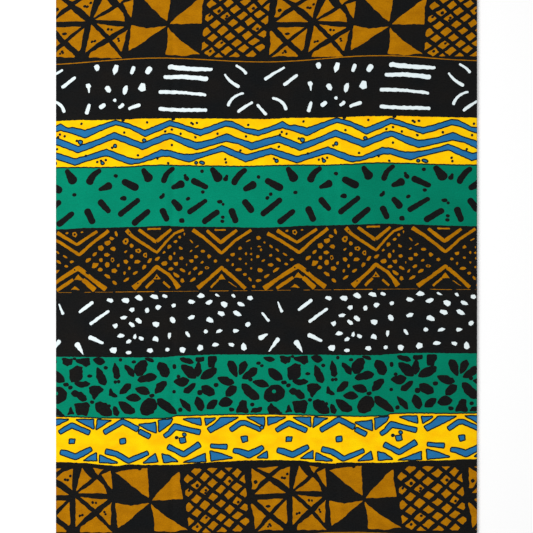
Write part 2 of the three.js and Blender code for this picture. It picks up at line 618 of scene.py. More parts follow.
@dataclass
class Band(ABC):
    """One band of the print, right across the cloth."""

    height: float
    width: float  # how wide its unit is, in the main repeat
    ground: Ink
    seed: int
    top: tuple[Point, ...] = ((0.0, 0.0),)  # places that its top edge passes through
    edge_line: bool = False  # whether a thin dark line runs along its top edge

    KEYLINE_WIDTH: ClassVar[float] = 1.85
    UNDERLAP: ClassVar[float] = 5.0  # how far the ground runs on under the next band's
    FOOT_STRIDE: ClassVar[int] = 3  # the ground's foot has a point for every so many of its top

    def top_edge(self, x: float) -> float:
        """Follow the band's top edge.

        Args:
            x: A place in the unit or in one of its repeats.

        Returns:
            How far the edge lies below its level there.
        """
        first_x, first_down = self.top[0]
        x = (x - first_x) % self.width + first_x
        again = (first_x + self.width, first_down)
        for (x0, down0), (x1, down1) in zip(self.top, (*self.top[1:], again)):
            if x < x1:
                break
        return down0 + (down1 - down0) * smooth((x - x0) / (x1 - x0))

    def ground_patch(self, left: float, right: float) -> list[Printed]:
        """Print the band's ground from one place to another, past its own lower edge.

        Args:
            left: Where it begins, in the unit's measure.
            right: Where it ends.

        Returns:
            The ground and, where it has one, the dark line along its top edge.
        """
        hand = Hand(self.seed, wobble=0.32, step=2.4)
        count = round((right - left) / hand.step)
        top = []
        for i in range(count + 1):
            x = left + (right - left) * i / count
            top.append((x, self.top_edge(x) + hand.stray(hand.wobble)))
        under = self.height + self.UNDERLAP
        bottom = [(x, under) for x, _ in reversed(top[:: self.FOOT_STRIDE])]
        bottom[0] = (right, under)
        patches = [Printed(self.ground, (*top, *bottom))]
        if self.edge_line:
            half = self.KEYLINE_WIDTH / 2
            line = [(x, y - half) for x, y in top] + [(x, y + half) for x, y in reversed(top)]
            patches.append(Printed(Ink.KEYLINE, tuple(line)))
        return patches

    def softened(self, shape: Shape, hand: Hand) -> list[Point]:
        """Return a shape's outline as it prints, with soft corners and the ink's spread."""
        outline = untangled(rounded(untangled(shape.outline(hand))))
        return untangled(drawn_in(outline, -hand.spread)) if hand.spread else outline

    def cut(self, ink: Ink, shapes: Sequence[Shape], hand: Hand) -> list[Printed]:
        """Return shapes cut by one hand, in one ink."""
        return [Printed(ink, tuple(self.softened(shape, hand))) for shape in shapes]

    def keyed(self, ink: Ink, shapes: Sequence[Shape], hand: Hand) -> list[Printed]:
        """Cut shapes with a thin dark line round each.

        Args:
            ink: What they are filled with.
            shapes: The shapes, with their lines.
            hand: Cuts them.

        Returns:
            Each shape's line and filling.
        """
        patches = []
        for shape in shapes:
            outline = self.softened(shape, hand)
            patches.append(Printed(Ink.KEYLINE, tuple(outline)))
            patches.append(Printed(ink, tuple(untangled(drawn_in(outline, self.KEYLINE_WIDTH)))))
        return patches

    def repeated(self, mark: Printed, later: int, unit_x: float) -> Printed:
        """Return a mark as one repeat has it, which in most bands is the same mark."""
        return mark

    @abstractmethod
    def unit(self) -> list[Printed]:
        """Return the marks of one unit."""


@dataclass
class BlockBand(Band):
    """Ochre blocks on black: a pinwheel, a lattice, and a block of crossed squares."""

    lattice_along: Point = (11.1, 8.4)  # from one cell to the next along a row
    lattice_across: Point = (-10.8, 10.8)  # and from one row to the next
    lattice_start: Point = (141.7, 19.6)  # the middle of one of the cells
    lattice_bar: float = 4.6  # how wide the black bars between them are
    lattice_stray: float = 0.8
    least_cell: float = 6.0  # a cell's corner with less area than this is left out
    slip: float = -5.0  # how far to the right the upper repeat's blocks lie
    lean: float = -0.21  # how far they lean, for each mm down
    lean_level: float = 53.0  # how far down the lean leaves them in place
    drop: float = 3.5  # how much lower they lie
    tilt: float = 0.026  # how much that changes for each mm to the right in a unit
    fall: float = 0.0125  # and for each mm to the right on the cloth
    squeeze: float = 0.010  # and what share of it is lost for each mm down

    SAILS: ClassVar[tuple[CutShape, ...]] = cuts(
        ((20, 12.5), (43, 8.5), (65, 6.5), (65.3, 20), (67.8, 50), (58, 42.5)),
        ((108, 9.5), (109, 28), (112.8, 49.8), (70, 51.2), (81, 37.5)),
        ((20.5, 53.5), (41, 57.3), (67.5, 54), (42, 76.5), (24, 88.5)),
        ((69.2, 55.5), (91, 73.5), (119.5, 91.3), (97, 94.3), (74, 92.5), (73.8, 82)),
    )
    LATTICE_BORDER: ClassVar[tuple[Point, ...]] = ((113, 8), (195.5, 7.5), (204, 94.5), (120, 95))
    LATTICE_REACH: ClassVar[range] = range(-8, 13)  # the rows and cells that may touch the block
    # The triangles of four squares, each crossed by two bars.
    TRIANGLES: ClassVar[tuple[CutShape, ...]] = cuts(
        ((212, 8.5), (242.5, 6.3), (229, 16.2)),
        ((205.2, 8), (225.5, 22), (216.5, 28.5), (211.5, 37), (205.8, 37.5)),
        ((229, 26.3), (252.5, 42.3), (206.5, 45.3), (218.5, 35.5)),
        ((232.8, 20.5), (246, 10.2), (257.8, 6.8), (257, 37), (243, 25.5)),
        ((284.5, 6.3), (299.3, 7.8), (292, 16.8)),
        ((269.5, 5.8), (283.2, 20), (262, 38), (265.3, 20)),
        ((290, 21.3), (300.3, 30), (304.5, 41.3), (264.3, 40.3), (278, 31)),
        ((295.8, 15), (309.6, 9.5), (311.5, 35.8), (303.5, 27)),
        ((210.5, 50.7), (248.7, 50.2), (240, 58.5), (230, 69.2)),
        ((203.6, 54), (225.5, 73.5), (210.6, 91.8), (209, 76)),
        ((231, 77), (251.8, 93.3), (225, 92.8), (213.3, 95)),
        ((253.2, 51), (253.7, 87.2), (234.6, 71)),
        ((267.3, 45.6), (305.7, 48.6), (296, 56), (288, 62.5)),
        ((260.7, 46.8), (283.5, 65.5), (273.5, 73.5), (260.7, 86.7)),
        ((289, 71.5), (311.8, 93.4), (290, 93.6), (266.6, 93.4), (268.2, 86)),
        ((310.3, 52.3), (309.6, 86.8), (292.7, 68)),
    )
    DOTS: ClassVar[tuple[Blob, ...]] = blobs(
        (211, 27.5, 5), (254, 17, 3.5), (247, 22, 3.6), (250.5, 22.5, 3.6), (228, 60.5, 7, 3),
        (230, 85, 3.4), (231.5, 87, 3), (228, 88, 2.8), (284.5, 53, 3.6), (289, 53.5, 3.2),
        (267, 71, 3.4), (270.5, 70, 3.4), (300.5, 66, 3.2), (302, 69, 3.2), (132, 31.5, 4.5),
        (143.8, 38, 3.4), (143, 41.5, 3.2), (121, 38, 3.4), (176, 26, 4), (187.5, 54.5, 3.6),
        (144.5, 75, 3.4), (132, 87, 3.6), (54, 8, 4),
    )

    def lattice(self, hand: Hand) -> list[CutShape]:
        """Set out the lattice's ochre cells, cut off at the block's border.

        Args:
            hand: Draws their corners a little unevenly.

        Returns:
            The cells.
        """
        (ax, ay), (bx, by) = self.lattice_along, self.lattice_across
        share_a = 0.5 - self.lattice_bar / 2 / math.hypot(ax, ay)
        share_b = 0.5 - self.lattice_bar / 2 / math.hypot(bx, by)
        cells = []
        for i in self.LATTICE_REACH:
            for j in self.LATTICE_REACH:
                cx = self.lattice_start[0] + i * ax + j * bx
                cy = self.lattice_start[1] + i * ay + j * by
                corners = []
                for p, q in ((-1, -1), (1, -1), (1, 1), (-1, 1)):
                    x = cx + p * share_a * ax + q * share_b * bx + hand.stray(self.lattice_stray)
                    y = cy + p * share_a * ay + q * share_b * by + hand.stray(self.lattice_stray)
                    corners.append((x, y))
                corners = clipped(list(one_way(corners)), self.LATTICE_BORDER)
                if len(corners) > 2 and area_of(corners) > self.least_cell:
                    cells.append(CutShape(tuple(corners)))
        return cells

    def unit(self) -> list[Printed]:
        """Cut the blocks of one unit.

        Returns:
            Their ochre patches and, on them, the black dots.
        """
        hand = Hand(self.seed, wobble=0.65, step=3.2, spread=-0.36)
        ochre = [*self.SAILS, *self.lattice(hand), *self.TRIANGLES]
        dots = self.cut(Ink.BLACK, self.DOTS, Hand(self.seed + 1, spread=0.4))
        return self.cut(Ink.OCHRE, ochre, hand) + dots

    def repeated(self, mark: Printed, later: int, unit_x: float) -> Printed:
        """Lean a mark over and lower it a little where it lies in an upper repeat.

        Args:
            mark: The mark, as in the unit.
            later: How many repeats down the cloth from the main one it lies.
            unit_x: Where its unit begins, from the middle of the cloth.

        Returns:
            The mark, as that repeat has it.
        """
        if later >= 0:
            return mark
        outline = []
        for x, down in mark.outline:
            below = down - self.lean_level
            lower = self.drop + self.tilt * (x - self.width / 2) + self.fall * (x + unit_x)
            lower *= 1 - self.squeeze * below
            outline.append((x + self.slip + self.lean * below, down + lower))
        return Printed(mark.ink, tuple(outline))


@dataclass
class RayBand(Band):
    """White bars, dots and a burst of dashes on black, under a thin ochre line."""

    line_level: float = 2.8  # how far down the thin line lies
    line_swell: float = 3.4  # how far it rises and falls
    line_width: float = 1.1

    LINE_STEPS: ClassVar[int] = 24
    BARS: ClassVar[tuple[Stroke, ...]] = between(
        (92.0, 11.2, 153.3, 15.8, 6.8, 4.6, -0.9),
        (86.0, 25.6, 147.0, 28.6, 5.2, 6.6, 1.5),
        (79.5, 45.0, 144.5, 50.0, 4.8, 4.4, 0.8),
        (79.0, 68.2, 145.5, 70.6, 5.4, 4.8, -0.6),
    )
    DASHES: ClassVar[tuple[Stroke, ...]] = between(
        (184, 10, 199.5, 22.5, 3.4, 5.0, 0.9), (168.5, 22, 189.5, 40.5, 3.2, 5.4, -1.8),
        (195.5, 47.5, 172.5, 65.5, 3.8, 4.6, -3.6), (207.5, 60, 186, 74.5, 3.8, 4.8, -0.6),
        (212.5, 63, 226, 78.5, 4.2, 4.6), (233.5, 54.5, 254, 71.5, 3.8, 5.2, 3.4),
        (222.5, 30.5, 251, 13.5, 5.2, 3.4, 0.5), (248.5, 38.5, 268.5, 23.5, 5.0, 4.8),
        (46.5, 9.5, 42.5, 21.5, 6.2, 5.6), (69.5, 11, 63, 21, 8.2, 7.2), (-1, 67, 8, 61, 6.8, 6.2),
        (25, 67, 33, 61, 5.0, 5.2), (38, 68, 55.5, 62, 4.8, 5.4), (285.4, 34, 286.5, 46, 5.2, 2.2),
        (287, 60, 282.5, 75, 4.6, 5.8),
    )
    PEBBLES: ClassVar[tuple[Blob, ...]] = chips(
        (21.2, 14.2, 15, 9, 106), (11, 40.8, 12, 7.6, 62), (34.3, 42.2, 14, 7.2, 103),
        (57.4, 39.2, 15.5, 10.2, 102), (20.2, 56, 5.6), (297, 11.5, 10.2, 7.6, 95),
        (285.5, 36.5, 8.5, 8),
    )

    def unit(self) -> list[Printed]:
        """Cut the band's marks in one unit.

        Returns:
            The thin line, the bars, and the dashes and pebbles.
        """
        nodes = []
        for i in range(self.LINE_STEPS + 1):
            down = self.line_level - self.line_swell * math.sin(math.tau * i / self.LINE_STEPS)
            nodes.append((self.width * i / self.LINE_STEPS, down, self.line_width))
        patches = self.cut(Ink.OCHRE, [Trail(tuple(nodes))], Hand(self.seed, wobble=0.3))
        patches += self.cut(Ink.WHITE, self.BARS, Hand(self.seed, wobble=0.95, step=3.6, spread=-0.12))
        hand = Hand(self.seed + 1, wobble=0.6, spread=-0.33)
        return patches + self.cut(Ink.WHITE, self.DASHES + self.PEBBLES, hand)


@dataclass
class ZigzagBand(Band):
    """Three blue zigzags on yellow, with rings and specks strewn between them."""

    speck_long: float = 3.0
    speck_wide: float = 2.6
    speck_ragged: float = 0.2
    speck_turn: float = 90.0  # the most that one is turned, either way

    # Each zigzag's turns, with its thickness there measured straight down.
    ZIGZAGS: ClassVar[tuple[tuple[Node, ...], ...]] = (
        (
            (0, 10.3, 8.5), (21.5, 2.8, 6.5), (40, 8, 6.2), (61, 18, 9), (81, 10.1, 8.8), (94.5, 4, 8),
            (115, 10.6, 6.8), (136, 18, 8.8), (170, 6, 8), (180, 7.2, 8), (197, 15.5, 7), (214.5, 19, 8),
            (232, 13.7, 6.5), (247.5, 7.8, 9.5), (257, 12.4, 6.4), (263, 13, 9), (281, 18, 11),
        ),
        (
            (0, 28.5, 8), (19, 20.2, 9.3), (58, 35.5, 9.2), (88, 23.5, 9), (96, 21.8, 7.6), (120, 32, 10.6),
            (131.5, 36, 10), (150, 31.5, 8), (171.5, 24.5, 11), (187.5, 29.7, 7.6), (205.5, 37.1, 10.6),
            (241.5, 27.1, 9.7), (271.5, 38.8, 9.5),
        ),
        (
            (0, 45.7, 8.5), (9, 43.3, 9.5), (41, 55.4, 9), (50, 55.7, 6.2), (57, 54.4, 6.2), (83, 44.8, 9.5),
            (94, 45.2, 8.2), (108, 49.9, 8.7), (121, 52.3, 10.4), (143, 46.7, 6.5), (165.5, 39.5, 8),
            (197.5, 53.2, 10.4), (231.5, 43.5, 8.5), (267, 55.8, 9.5), (285, 50.4, 8.2),
        ),
    )
    RINGS: ClassVar[tuple[Blob, ...]] = blobs(
        (20.5, 34.5, 5.2), (60, 27.5, 5.2), (3.5, 57.5, 5.2), (138.5, 58.5, 7.5, 4.8, 8),
        (130.5, 58.5, 4.4), (274.5, 29, 6.5), (239.5, 57, 5.2),
    )
    SPECKS: ClassVar[tuple[Point, ...]] = (
        (64, 3), (124, 4.5), (126, 6), (131.5, 4.5), (33, 16.5), (88.5, 15.5), (97.5, 13), (109.5, 19),
        (129.5, 24), (16.5, 37), (51.5, 47.5), (97.5, 34), (78, 52), (92.5, 58.5), (8, 53.5),
        (1.5, 54.5), (159.5, 19.5), (198, 23.5), (201, 8), (276, 4), (246.5, 18), (244, 21.5),
        (253, 20.5), (242.5, 38), (190.5, 42.5), (170, 54), (171, 58.5), (236, 54), (269.5, 27),
        (282, 47.5), (297.5, 56),
    )
    KNOTS: ClassVar[tuple[Blob, ...]] = blobs((31.5, -0.6, 4.4, 3.2), (99.5, -1.4, 4.6, 3.4))

    def unit(self) -> list[Printed]:
        """Cut the zigzags, rings and specks of one unit.

        Returns:
            Their patches, with the black knots in the band's top edge.
        """
        hand = Hand(self.seed, wobble=0.45, step=3.0, spread=0.7)
        patches = self.cut(Ink.BLACK, self.KNOTS, hand)
        size = (self.speck_long, self.speck_wide)
        specks = []
        for x, down in self.SPECKS:
            specks.append(Blob(x, down, *size, hand.stray(self.speck_turn), self.speck_ragged))
        for turns in self.ZIGZAGS:
            patches += self.zigzag(turns, hand)
        return patches + self.cut(Ink.KEYLINE, specks, hand) + self.keyed(Ink.BLUE, self.RINGS, hand)

    def zigzag(self, turns: Sequence[Node], hand: Hand) -> list[Printed]:
        """Cut one zigzag that runs on from unit to unit, with dark lines along its edges alone.

        Args:
            turns: Its turns.
            hand: Cuts it.

        Returns:
            The dark strip and the blue one on it.
        """
        ring = (*turns, (turns[0][0] + self.width, *turns[0][1:]))
        over, under = [], []
        for start, end in zip(ring, ring[1:]):
            count = max(1, round((end[0] - start[0]) / hand.step))
            for i in range(count):
                x, down, thick = part_way(start, end, i / count)
                half = thick / 2 + hand.spread
                over.append((x, down - half + hand.stray(hand.wobble)))
                under.append((x, down + half + hand.stray(hand.wobble)))
        for edge in (over, under):
            edge.append((edge[0][0] + self.width, edge[0][1]))
        over, under = ([edge[0], *rounded(edge)[:-2], edge[-1]] for edge in (over, under))
        wide = self.KEYLINE_WIDTH
        inner = [(x, y + wide) for x, y in over] + [(x, y - wide) for x, y in reversed(under)]
        outer = (*over, *reversed(under))
        return [Printed(Ink.KEYLINE, outer), Printed(Ink.BLUE, tuple(inner))]


@dataclass
class DashBand(Band):
    """Three bursts of black dashes on green."""

    BURSTS: ClassVar[tuple[Stroke, ...]] = strokes(
        (59, 4, 66, 15, 5, 11), (99, 2.5, 86.5, 19, 4.5, 6.5, -2.2), (33, 19.5, 48.5, 27.5, 7.5, 9),
        (99, 28, 110.5, 23.5, 4, 9.5), (51.5, 45, 27.5, 63.5, 5.5, 6), (65.5, 60, 46.5, 75.5, 6, 7),
        (85, 59, 90.5, 71, 7, 6.5), (100, 47, 108, 56, 6, 8),
        (152.5, 4, 160.5, 16, 5, 12), (196.5, 5.5, 182, 22.5, 5.5, 7.5, -1.6), (127, 19.5, 144, 28, 7, 5.5),
        (197, 31, 208, 25.5, 5.5, 9.5), (143, 46.5, 121.5, 61.5, 4.5, 6), (159, 62, 141.5, 74.5, 6, 6.5),
        (178.5, 60.5, 184, 74, 7.5, 7), (196.5, 48.5, 205.5, 60, 7, 7.5),
        (255, 4.5, 263, 17, 5, 12), (299, 4.5, 286, 19, 5, 9, -2.0), (227, 20.5, 244.5, 30, 6.5, 9),
        (299.7, 29.5, 312.2, 25, 3, 9), (244, 46.5, 221, 65, 6, 6.5), (262, 62, 244, 76, 5.5, 7),
        (283, 59, 289.5, 73, 8, 7), (300.5, 47, 311.5, 59, 7.5, 6),
    )
    SPECKS: ClassVar[tuple[Blob, ...]] = blobs(
        (21.5, 11.5, 5, 3.5, 10), (32, 42, 8, 4.8, 5), (84, 40.5, 6, 4, -30), (86, 37.5, 3),
        (115.5, 12, 3.2), (117.5, 16, 6.2, 5, 50), (119.5, 43.5, 5, 3.5, -20), (139.5, 34.5, 3.6),
        (138.5, 6.5, 3.6), (111, 73, 6.5, 5), (170.5, 17, 6.2, 5, -45), (172, 13.5, 3.2),
        (162.5, 48, 6.5, 3.5, 8), (167, 51.5, 3), (166.5, 69, 4, 3.2), (166, 74.5, 4.5, 3.2),
        (215, 15, 3.5, 4), (227, 43.5, 4.5, 3.5, -30), (231.5, 38.5, 4, 3.5, -30),
        (265, 36.5, 5, 3.2, -12),
    )

    def unit(self) -> list[Printed]:
        """Return the bursts and specks of one unit."""
        return self.cut(Ink.BLACK, self.BURSTS + self.SPECKS, Hand(self.seed, wobble=0.6, spread=0.9))


@dataclass
class ChevronBand(Band):
    """Ochre chevrons from both edges of a black band, with beaded diamonds between them."""

    CHEVRONS: ClassVar[tuple[Trail, ...]] = trails(
        ((35.5, 2.5, 7), (43, 10.6, 5), (57, 20.3, 4.8), (77.5, 33.6, 4.4), (91.5, 17.3, 3.8),
         (101, 8, 4), (114, 3, 4.4)),
        ((125.5, 3, 6.5), (141, 14, 4.8), (165, 35.4, 5), (184, 18, 4.2), (205.5, 4.2, 5)),
        ((226.5, 9, 6), (242, 17.5, 4.6), (270.5, 35.8, 5), (288, 20, 4.4), (310.5, 3, 5.6)),
        ((52.3, 2, 4.6), (76, 19.2, 5.6), (97, 2, 4.6)),
        ((144.5, 4, 4.6), (163.8, 21, 6), (186, 4, 4.6)),
        ((239.5, 5, 5.8), (267, 22, 4.6), (295, 3.6, 4.6)),
        ((45, 82, 9), (56, 72.3, 5.6), (67, 63, 5), (77, 52.7, 6.4), (85, 58.4, 4.6), (93, 63.3, 5),
         (100, 72, 5.6), (107, 82.5, 8)),
        ((132, 82.5, 7), (146, 71.5, 5), (165, 54.8, 6), (183, 70.5, 5), (197.5, 84, 6)),
        ((222, 84.5, 8.5), (240, 71.5, 5.4), (269, 53, 7), (290, 70.5, 6), (307, 83, 8)),
        ((62, 81.5, 4.6), (73, 71, 4.6)),
        ((85.5, 73, 3.8), (95, 82, 3.6)),
        ((150, 82, 3.6), (161, 71, 3.8)),
        ((174, 74, 1.8), (186, 82, 1.6)),
        ((239, 84, 5.4), (262.5, 68.8, 5)),
        ((275, 69, 6.5), (292, 84, 8)),
        ((64, 1.8, 3.2), (83, 1.4, 3)),
        ((155, 4, 3), (171, 4, 3)),
    )
    CORNERS: ClassVar[tuple[CutShape, ...]] = cuts(
        ((77, 61.5), (83, 70.5), (70.5, 70.5)),
        ((165, 62.5), (171, 71.5), (159.5, 71.5)),
        ((269, 61.5), (277, 70), (261.5, 70)),
        ((256, 83.5), (264, 77.3), (272, 83.5)),
    )
    # Beads, each with its length, width and turn.
    BEADS: ClassVar[tuple[Blob, ...]] = chips(
        (22, 8, 9, 5, 70), (16, 14, 7, 6), (10.5, 20, 9, 8), (1.5, 27, 9.5, 9), (18, 28, 8, 7),
        (-7, 35, 8, 5, -40), (9, 36, 9, 6.5), (35, 32, 6, 3.6, -40), (1.5, 43, 6.2), (17, 43, 8, 6, 90),
        (-7, 50, 8, 7.5), (10, 49.5, 8, 7.5), (35, 45.5, 7.4), (25, 50.5, 5.2), (0.5, 56, 7.5, 6),
        (19.5, 57.5, 9, 7.5), (40, 54.5, 6, 4.5, 80), (33.5, 61, 6, 4, 90), (10, 65, 11, 5.5, 38),
        (48, 61, 9, 4.6, -35), (20, 74, 8.5, 5, 38), (36, 70, 11, 4.6, -38), (35, 18, 10.5, 8.5, -50),
        (43, 24, 6.4), (52, 31, 10, 7), (61.5, 37, 7.2), (43, 38.5, 7, 5.5, 90), (51, 45.5, 9, 7),
        (67.5, 44.5, 8, 6, -40), (78, 42, 9, 5, -35), (60, 53, 8.6, 6, -40), (94, 26, 6.6),
        (102.5, 19, 6.5, 4.5, -30), (108, 13, 5.2), (114.5, 9, 5, 3, 90), (109.5, 28, 7, 4.4, 38),
        (101, 35, 5.2, 4, 90), (87, 33.5, 6, 3.6, -38), (95.5, 41, 8, 6, 90), (110.5, 42, 7, 6),
        (87.5, 48.5, 9.5, 7.2), (103, 49, 7, 6.4), (96, 56, 8, 6), (112, 58, 10, 4.8, 32),
        (103.5, 64.5, 11, 5.4, 36), (111.5, 72, 8, 6, 90), (117.5, 50.5, 4, 2.6, 90),
        (124, 45.5, 6.5, 6), (130.5, 40, 6.2), (123.5, 32, 5.2, 3.2, -40), (131.5, 26, 6.4, 3, -30),
        (124, 19, 8.5, 3, 50), (139.5, 32.5, 7.2, 5), (138.5, 47.5, 6, 3.6, -40),
        (129.5, 55.5, 8, 5.2, -40), (145, 55, 7, 5), (121.5, 62, 6.6, 3.8, -55), (136, 62, 10, 5, -33),
        (126, 71, 10, 5, -33), (148, 39.5, 6.2), (156.5, 46, 5.8), (173, 45, 5.5, 5),
        (180, 37.5, 7.2, 5.5), (180, 51, 5.2, 4.4, 90), (190, 29, 7, 5, -40), (198, 36.5, 5, 4, 90),
        (190, 43.5, 5.5, 4.5), (198, 50, 4.2, 3.5, 90), (188, 58, 9, 5.5), (205, 29.5, 4, 2.6, 90),
        (205, 37, 4.2), (205.5, 44.5, 4, 3, 90), (205, 56.5, 4.2), (201, 19, 9, 2.8, -30),
        (196.5, 64.5, 6, 5), (203.5, 71.5, 7.6, 4.6, 50), (208.5, 81, 6, 5), (215, 73, 9, 4.6),
        (215, 15.5, 7.2), (223, 21.5, 3.8), (216, 27, 6, 3.2), (218.5, 31.5, 4.6),
        (232, 27, 7.6, 3.8, 38), (240.5, 32, 6.6, 3.8, 38), (231.5, 39, 6, 4.5), (214, 40.5, 6, 5),
        (221.5, 46, 6.6, 3.4, -35), (231, 52, 10, 5.5), (217, 59, 9, 6.5), (242, 45, 8.6, 4.6, 36),
        (251, 38, 8.6, 3.8, 32), (252.5, 51, 6, 4.6), (260, 45, 6, 5), (238.5, 59, 11.6, 5.2, -32),
        (226, 67, 9.6, 4.6, -32), (282.5, 43, 9.5, 5.6, -35), (291.5, 35, 7, 4.4, -38),
        (292, 50.5, 12, 5.8, -32), (253.5, 6, 5, 4), (264, 8, 8.2), (274, 5, 4.4, 3.4),
    )
    HOLES: ClassVar[tuple[Blob, ...]] = blobs(
        (35, 18, 3.4), (52, 31, 3.2), (61.5, 37, 3), (17, 43, 4, 2.8, 90), (145, 55, 3.2, 2.4),
        (264, 8, 3.6), (40, 6.8, 2.6), (51.5, 75, 2.6), (77, 19.8, 2.4), (169, 55, 2.8), (264, 56, 2.8),
        (281, 60.5, 6.5, 2.6, 42), (77, 67.6, 3.4, 3),
    )

    def unit(self) -> list[Printed]:
        """Cut the chevrons and beads of one unit.

        Returns:
            Their ochre patches and, on them, the black holes.
        """
        hand = Hand(self.seed, wobble=0.6, step=2.8, spread=-0.42)
        ochre = self.CHEVRONS + self.CORNERS + self.BEADS
        holes = self.cut(Ink.BLACK, self.HOLES, Hand(self.seed + 1))
        return self.cut(Ink.OCHRE, ochre, hand) + holes


@dataclass
class PebbleBand(Band):
    """White pebbles and a burst of dashes on black, under a thin broken ochre line."""

    PEBBLES: ClassVar[tuple[Blob, ...]] = chips(
        (14.5, 10.5, 11.5, 6, 18), (35, 10.8, 12, 7.5, 10), (53, 7.5, 11.5, 7.5, 22),
        (74, 6.5, 12, 7.5, 28), (88, 5.5, 9, 5, 25), (137, 5.5, 11, 6.5, 8), (43.5, 23.5, 8.5, 7, 25),
        (64, 24.5, 8, 6.5, 60), (79, 20.5, 8.5, 7, -15), (100, 18, 7, 6.5, -30), (124, 13.5, 9.5, 7),
        (148, 14.5, 10, 6.5, -25), (32, 34, 10.5, 6, -15), (52.5, 38.5, 11.5, 6.5, 45),
        (98.5, 38, 10, 7.5, 55), (124, 34.5, 11, 6.5, -25), (149, 38.5, 11.5, 7.5, 35),
        (21, 45, 7.5, 7, -60), (43.5, 43.5, 11, 6, 35), (76, 43.5, 10.5, 8, 25), (28.5, 58.5, 10.5, 6),
        (47.5, 60, 8, 5.5, 80), (56, 62.5, 8, 6, 45), (75.5, 63.5, 8.5, 8), (94, 59.5, 9, 6, 95),
        (119, 57.5, 10.5, 5, 50), (143.5, 54, 6.5, 6), (39, 66.5, 9, 6, -15), (18.5, 78, 11.5, 8.5, 10),
        (39, 81.5, 9, 5), (68, 79, 10, 7, 15), (91.5, 78, 6.5, 6, 20), (112, 78.5, 10, 7.5, 25),
        (136, 76, 10.5, 8.5, -40), (159, 5, 7, 4, 25), (181, 6, 7, 4.5, 35), (203.5, 9.5, 9, 7, 10),
        (168.5, 17.5, 11, 8, 30), (191, 17.5, 11, 6, 25), (164.5, 30, 12, 7, 20),
        (186, 30, 12, 7.5, 25), (200.5, 45, 8, 7, -10), (161.5, 53.5, 9.5, 6, -10),
        (184, 53.5, 9, 6, -5), (156.5, 72, 9.5, 6, -5), (178.5, 72, 9.5, 6), (195, 75.5, 11, 8.5, 85),
    )
    BURST: ClassVar[tuple[Stroke, ...]] = between(
        (241, 14, 247, 29.5, 2.6, 4.6), (219, 28.5, 229.5, 41.5, 3.2, 4.0), (288.5, 12, 268, 27, 5.0, 4.4),
        (310, 24, 283, 43, 4.2, 5.0), (227.5, 58, 215, 65, 2.6, 7.4), (243, 63.5, 228.5, 82.5, 6.6, 2.2),
        (264.5, 67, 275, 84, 8.6, 1.8), (281.5, 59, 302.5, 69, 7.0, 4.0),
    )
    # Stretches of the broken line, each with its width.
    LINE: ClassVar[tuple[Stretch, ...]] = (
        (-10, 18, 0.4), (21, 50, 0.6), (50, 74, 0.9), (80, 100, 0.6), (100, 140, 0.45), (148, 175, 0.7),
        (180, 200, 0.45), (205, 235, 0.4), (240, 262, 0.3), (276, 285, 0.6),
    )
    line_level: float = -0.8

    def unit(self) -> list[Printed]:
        """Cut the pebbles, the burst and the line of one unit.

        Returns:
            The line's ochre stretches and the white marks.
        """
        level = self.line_level
        lines = [Trail(((start, level, wide), (end, level, wide))) for start, end, wide in self.LINE]
        patches = self.cut(Ink.OCHRE, lines, Hand(self.seed, wobble=0.3))
        hand = Hand(self.seed + 1, wobble=0.7, spread=-0.28)
        return patches + self.cut(Ink.WHITE, self.PEBBLES + self.BURST, hand)


